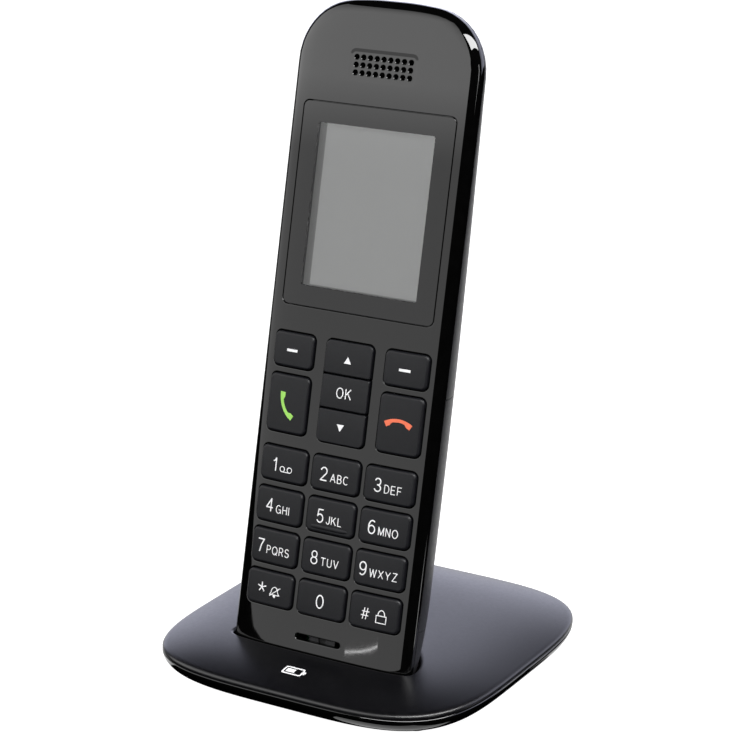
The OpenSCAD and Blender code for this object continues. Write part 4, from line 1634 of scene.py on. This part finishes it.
def pocket_side(skin, form, wall, flip):
    """Pocket wall from the crown down to its floor, and the floor with its two windows."""
    angles = [2 * math.pi * i / POCKET_STEPS for i in range(POCKET_STEPS)]
    corner = [pocket_point(form, a, wall) for a in angles]
    if flip > 0:
        wide = Form(form.inset - LIP_ROUND)
        crown = [pocket_point(wide, a, wall) for a in angles]
        below = [form.ring_point(a, c[2] - LIP_ROUND) for a, c in zip(angles, corner)]
        rows, normals = [], []
        for k in range(6):
            t = k / 5
            row = [
                tuple((1 - t) ** 2 * p[i] + 2 * t * (1 - t) * c[i] + t * t * q[i] for i in range(3))
                for p, c, q in zip(crown, corner, below)
            ]
            ups = [dome_normal(*ground(p)[:2]) for p in crown]
            sides = [turned(-form.normal(q)) for q in below]
            rows.append([ground(p) for p in row])
            normals.append([(u * (1 - t) + s * t).normalized() for u, s in zip(ups, sides)])
        skin.sheet(rows, normals, closed=True)
        top, edge = below, rows[0]
    else:
        top, edge = corner, [ground(p) for p in corner]
    rows, normals = [], []
    for k in range(9):
        row = [form.ring_point(a, p[2] + (form.low - p[2]) * k / 8) for a, p in zip(angles, top)]
        rows.append([ground(p) for p in row])
        normals.append([turned(-form.normal(p)) * flip for p in row])
    skin.sheet(rows, normals, closed=True)
    floor = [form.ring_point(a, form.low)[:2] for a in angles]
    windows = [rounded((side * 9 - 1.7, side * 9 + 1.7), LEAF_WINDOW, 0.3, 0, 2)[0] for side in (-1, 1)]
    up = turned(Vector((0, 0, 1))) * flip
    for corners in triangles(floor, windows, 4):
        skin.face([ground((x, y, form.low)) for x, y in corners], outward=up)
    return [(x, y) for x, y, _ in edge], windows


def dome_skin(skin, boundary, hole, wall, flip):
    """The crown between its rim and the pocket."""
    for corners in triangles(boundary, [hole], 2.6):
        spots = [(x, y, dome_height(x, y, wall)) for x, y in corners]
        skin.face(spots, [dome_normal(x, y) * flip for x, y in corners])


def base_cover():
    """Satin cover: rounded rim, flattened crown and the pocket that the handset stands in."""
    skin = Skin()
    rim_height = DOME_Z + DOME_RISE * (1 - (1 - RIM_INSET / BASE_HALF) ** DOME_P)
    corners = ((0, SEAM_Z + 0.35), (0, rim_height - 0.45), (0.5, rim_height - 0.18), (RIM_INSET, rim_height))
    curve = bezier(*corners, 8)
    rim_rows([(0.12, SEAM_Z), (0, SEAM_Z + 0.12), *curve], skin)
    low_rim = base_outline(0.12)
    inner_edge = base_outline(COVER_WALL)
    for i in range(len(low_rim)):
        j = (i + 1) % len(low_rim)
        corners = [low_rim[i], low_rim[j], inner_edge[j], inner_edge[i]]
        skin.face([(x, y, SEAM_Z) for x, y in corners], outward=(0, 0, -1))
    inner_inset = COVER_WALL + RIM_INSET
    share = RIM_INSET / (BASE_HALF - COVER_WALL)
    inner_height = DOME_Z - COVER_WALL + DOME_RISE * (1 - (1 - share) ** DOME_P)
    rim_rows([(COVER_WALL, SEAM_Z), (inner_inset, inner_height)], skin, -1)
    hole, windows = pocket_side(skin, Form(-POCKET_GAP), 0, 1)
    dome_skin(skin, base_outline(RIM_INSET), hole, 0, 1)
    under = Form(-POCKET_GAP - 1.2)
    inner_hole, _ = pocket_side(skin, under, COVER_WALL, -1)
    dome_skin(skin, base_outline(inner_inset), inner_hole, COVER_WALL, -1)
    for window in windows:
        upper = [ground((x, y, -POCKET_GAP)) for x, y in window]
        lower = [ground((x, y, under.low)) for x, y in window]
        middle = sum((Vector(p) for p in upper), Vector((0, 0, 0))) / len(upper)
        skin.strip(upper, lower, closed=True, outward=lambda c, m=middle: m - Vector(c[0]))
    obj = skin.build("cover_shell", [SATIN_COVER], ROW)
    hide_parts("base_cover")
    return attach(obj, "base")


def base_body():
    """Glossy lower body with wells for feet and screws, and the inlet opening at the rear."""
    skin = Skin()
    top = SEAM_Z - 0.1
    curl = [math.pi / 2 * i / 10 for i in range(11)]
    outer = [(BODY_INSET * (1 - math.cos(a)), top - BODY_DROP * math.sin(a)) for a in curl] + [(14, 1.2)]
    outer = [(0.12, top), (0, top - 0.12)] + [p for p in outer if p[1] < top - 0.2]
    inner = [
        (BODY_WALL + BODY_INSET * (1 - math.cos(a)), top + BODY_WALL - BODY_DROP * math.sin(a)) for a in curl
    ]
    inner = [(1.7, top)] + [p for p in inner if p[1] < top] + [(14 + BODY_WALL, 1.2 + BODY_WALL)]
    outer_rows = rim_rows(outer, skin)
    inner_rows = rim_rows(inner, skin, -1)
    skin.strip(outer_rows[0], inner_rows[0], closed=True, outward=(0, 0, 1))
    skin.face(outer_rows[-1], outward=(0, 0, -1))
    skin.face(inner_rows[-1], outward=(0, 0, 1))
    obj = skin.build("body_tray", [GLOSS_BLACK], ROW)
    corners = [(i, j) for i in (-1, 1) for j in (-1, 1)]
    screws = [(i * SCREWS_AT, j * SCREWS_AT) for i, j in corners]
    cut(obj, [round_cutter((x, y, 3), 3.4, 2, ROW) for x, y in screws], "UNION")
    holes = [round_cutter((x, y, 2.5), 1.1, 5, ROW, sides=24) for x, y in screws]
    holes += [round_cutter((x, y, 1.4), 2.4, 3, ROW) for x, y in screws]
    holes += [round_cutter((i * FEET_AT, j * FEET_AT, 0.6), 4.1, 2, ROW) for i, j in corners]
    holes.append(box_cutter((-4.6, 4.6), (30, 50), (3.5, 7.0), ROW))
    cut(obj, holes)
    smooth_by_angle(obj, 28)
    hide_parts("base_body")
    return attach(obj, "base")


def base_mark():
    """A plain charging symbol on the front of the cover: a battery outline with its level."""
    x, y = MARK_AT
    outline = rounded((x - 2.6, x + 2.6), (y - 1.5, y + 1.5), 0.5, 0, 3, 5)[0]
    hollow = rounded((x - 2.2, x + 2.2), (y - 1.1, y + 1.1), 0.2, 0, 3, 5)[0]
    level = rounded((x - 1.8, x + 0.4), (y - 0.7, y + 0.7), 0.1, 0, 1, 5)[0]
    nub = rounded((x + 2.7, x + 3.2), (y - 0.6, y + 0.6), 0.15, 0, 2, 5)[0]
    shapes = [(outline, [hollow]), (level, []), (nub, [])]
    surface = lambda px, py: ((px, py, dome_height(px, py)), dome_normal(px, py))
    print_flat("charge_symbol", shapes, surface, ROW, LEGEND_WHITE, "base")



# ---------------------------------------------------------------- nodes that keep their CAD shape

KEPT = {
    "lcd_backlight": WHITE_PLASTIC, "receiver": SPEAKER_METAL, "receiver_mesh": MESH_BLACK,
    "loudspeaker": SPEAKER_METAL, "microphone": MESH_BLACK, "microphone_boot": SOFT_RUBBER,
    "main_board": BOARD_GREEN, "chips": CHIP_BLACK, "rf_shield": BRIGHT_METAL, "antenna": CONTACT_GOLD,
    "keypad_mat": MAT_GREY, "dome_sheet": BRIGHT_METAL, "battery_left": CELL_WRAP, "battery_right": CELL_WRAP,
    "battery_plates": BRIGHT_METAL, "charge_pads": CONTACT_GOLD, "shell_screws": SCREW_STEEL,
    "board_screws": SCREW_STEEL, "base_feet": SOFT_RUBBER, "base_screws": SCREW_STEEL,
    "ballast_plate": BALLAST_STEEL, "charge_board": BOARD_GREEN, "charge_leaf_left": CONTACT_GOLD,
    "charge_leaf_right": CONTACT_GOLD, "dc_inlet": CHIP_BLACK, "inlet_lead": LEAD_RED,
}


def finish_kept_nodes():
    """Puts materials on the nodes that are shown as the CAD made them."""
    for name, material in KEPT.items():
        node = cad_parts[name]
        for place in node.material_slots:
            place.material = material
        if not node.material_slots:
            node.data.materials.append(material)


front_shell()
display_lens()
lcd_panel()
keypad()
rear_shell()
battery_door()
coil_spring("spring_left", -5.7, (DOOR_Z[0] + 1.3, 17.3), (3.0, 2.0))
coil_spring("spring_right", 5.7, (62.0, 65.1), (2.0, 3.0))
base_cover()
base_body()
base_mark()
finish_kept_nodes()


# ---------------------------------------------------------------- camera and light

CAMERA_PLACE = Vector((0.28367, -0.48035, 0.25338))
CAMERA_AZIMUTH = math.radians(30.62)
CAMERA_ELEVATION = math.radians(17.81)
CAMERA_LENS = 122.97


def aim(azimuth, elevation):
    """Turn of something that looks level along +Y at azimuth 0 and down at a positive elevation."""
    return (math.pi / 2 - elevation, 0, azimuth)


def add_camera():
    """Camera at the photo's viewing angle."""
    data = bpy.data.cameras.new("camera")
    data.lens = CAMERA_LENS
    data.sensor_width = 36
    data.clip_start = 0.01
    camera = bpy.data.objects.new("camera", data)
    camera.location = CAMERA_PLACE
    camera.rotation_euler = aim(CAMERA_AZIMUTH, CAMERA_ELEVATION)
    bpy.context.scene.collection.objects.link(camera)
    bpy.context.scene.camera = camera


def softbox(name, centre, target, size, luminance, roll=0.0):
    """Rectangular lamp with an even brightness, facing a target."""
    data = bpy.data.lights.new(name, "AREA")
    data.shape = "RECTANGLE"
    data.size, data.size_y = size
    data.energy = luminance * math.pi * size[0] * size[1]
    lamp = bpy.data.objects.new(name, data)
    lamp.location = centre
    towards = Vector(target) - Vector(centre)
    facing = towards.to_track_quat("-Z", "Y") @ Quaternion((0, 0, 1), math.radians(roll))
    lamp.rotation_euler = facing.to_euler()
    lamp.visible_camera = False
    bpy.context.scene.collection.objects.link(lamp)
    return lamp


def add_stage():
    """Pale floor, and a white surround for the views that look past it."""
    floor_material, tree, shader = new_material("floor_white")
    feed(tree, shader, {
        "Base Color": (0.3, 0.3, 0.3, 1), "Roughness": 0.9, "Specular IOR Level": 0,
        "Emission Color": (1, 1, 1, 1), "Emission Strength": 1.0,
    })
    disc = bmesh.new()
    bmesh.ops.create_circle(disc, cap_ends=True, segments=96, radius=6)
    ball = bmesh.new()
    bmesh.ops.create_uvsphere(ball, u_segments=48, v_segments=24, radius=5.9)
    floor = from_bmesh("floor", disc, [floor_material])
    surround = from_bmesh("surround", ball, [glow("surround_white", (1, 1, 1), 1.0)])
    for thing in (floor, surround):
        thing.visible_glossy = False
        thing.visible_diffuse = False
        thing.visible_shadow = False


WALL_REACH = 3.0
MIDDLE = Vector((0, 0, 0.08))


def wall_material(name, levels, colour, slant, pivot):
    """Light whose strength follows levels, (rise in degrees, luminance) pairs going up.

    With a slant the levels climb along the wall, and keep their rises only at y = pivot.
    """
    material, tree = bare_material(name)
    climb = {0: object_space(tree), 1: (0, slant, 1)}
    height = add_node(tree, "VectorMath", climb, operation="DOT_PRODUCT").outputs["Value"]
    strength = levels[0][1]
    for (low, before), (high, after) in zip(levels, levels[1:]):
        ends = [rise_height(rise) + slant * pivot for rise in (low, high)]
        step = ramp(tree, height, 0, after - before, *ends)
        strength = add_node(tree, "Math", {0: step, 1: strength}).outputs["Value"]
    light = add_node(tree, "Emission", {"Color": (*colour, 1), "Strength": strength})
    show(tree, light.outputs["Emission"])
    return material


def rise_height(rise):
    """Height on a wall that is seen at this many degrees above the level."""
    return math.tan(math.radians(rise)) * WALL_REACH


def bright_wall(name, bearings, rises, levels, colour=(1, 1, 1), slant=0.0, pivot=0.0):
    """Curved studio wall round the phone, lit as wall_material says."""
    steps = 24
    points, faces = [], []
    for i, bearing in enumerate(spread(math.radians(bearings[0]), math.radians(bearings[1]), steps)):
        for rise in rises:
            points.append((math.sin(bearing) * WALL_REACH, math.cos(bearing) * WALL_REACH, rise_height(rise)))
        if i:
            faces.append((2 * i - 2, 2 * i, 2 * i + 1, 2 * i - 1))
    mesh = bpy.data.meshes.new(name)
    mesh.from_pydata(points, [], faces)
    wall = blank_object(name, mesh, [wall_material(name, levels, colour, slant, pivot)])
    wall.location = MIDDLE
    wall.visible_camera = False
    wall.visible_shadow = False
    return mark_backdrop(wall)


def add_lights():
    """Bearings are degrees from +Y towards +X. The walls are what the glossy faces mirror."""
    front_levels = ((-5, 1.3), (7.5, 1.35), (9.5, 2.8), (20, 2.8), (45, 1.5))
    bright_wall("wall_front", (-186, -95), (-4.3, 50), front_levels, slant=0.23, pivot=-1.93)
    bright_wall("wall_back", (-70, 62), (0, 31), ((0, 1.95), (18, 1.95), (31, 1.3)), (0.91, 0.93, 1.13))
    bright_wall("wall_low", (-75, 16), (-35, 0), ((-35, 1.1), (0, 1.1)))
    softbox("bounce_below", (0, 0, -0.6), (0, 0, 0), (0.55, 0.55), 1.2)
    softbox("lamp_slit", (-0.475, -1.12, -0.010), (0.01, -0.03, 0.02), (0.15, 0.0014), 16, 8)
    softbox("lamp_low_right", (0.95, 0.62, -0.40), (0.024, -0.02, 0.02), (0.2, 0.12), 3)
    softbox("lamp_corner", (1.09, -0.45, 0.42), (0.024, -0.01, 0.15), (0.16, 0.35), 6)
    bearing, rise, reach = math.radians(115), math.radians(50), 1.4
    level = Vector((math.sin(bearing), math.cos(bearing), 0))
    place = MIDDLE + reach * (level * math.cos(rise) + Vector((0, 0, math.sin(rise))))
    softbox("key_light", place, MIDDLE, (2.2, 0.36), 20)


add_camera()
add_stage()
add_lights()
world = bpy.data.worlds.new("dark_room")
world.use_nodes = True
world.node_tree.nodes["Background"].inputs["Color"].default_value = (0, 0, 0, 1)
bpy.context.scene.world = world
bpy.context.scene.view_settings.view_transform = "Standard"
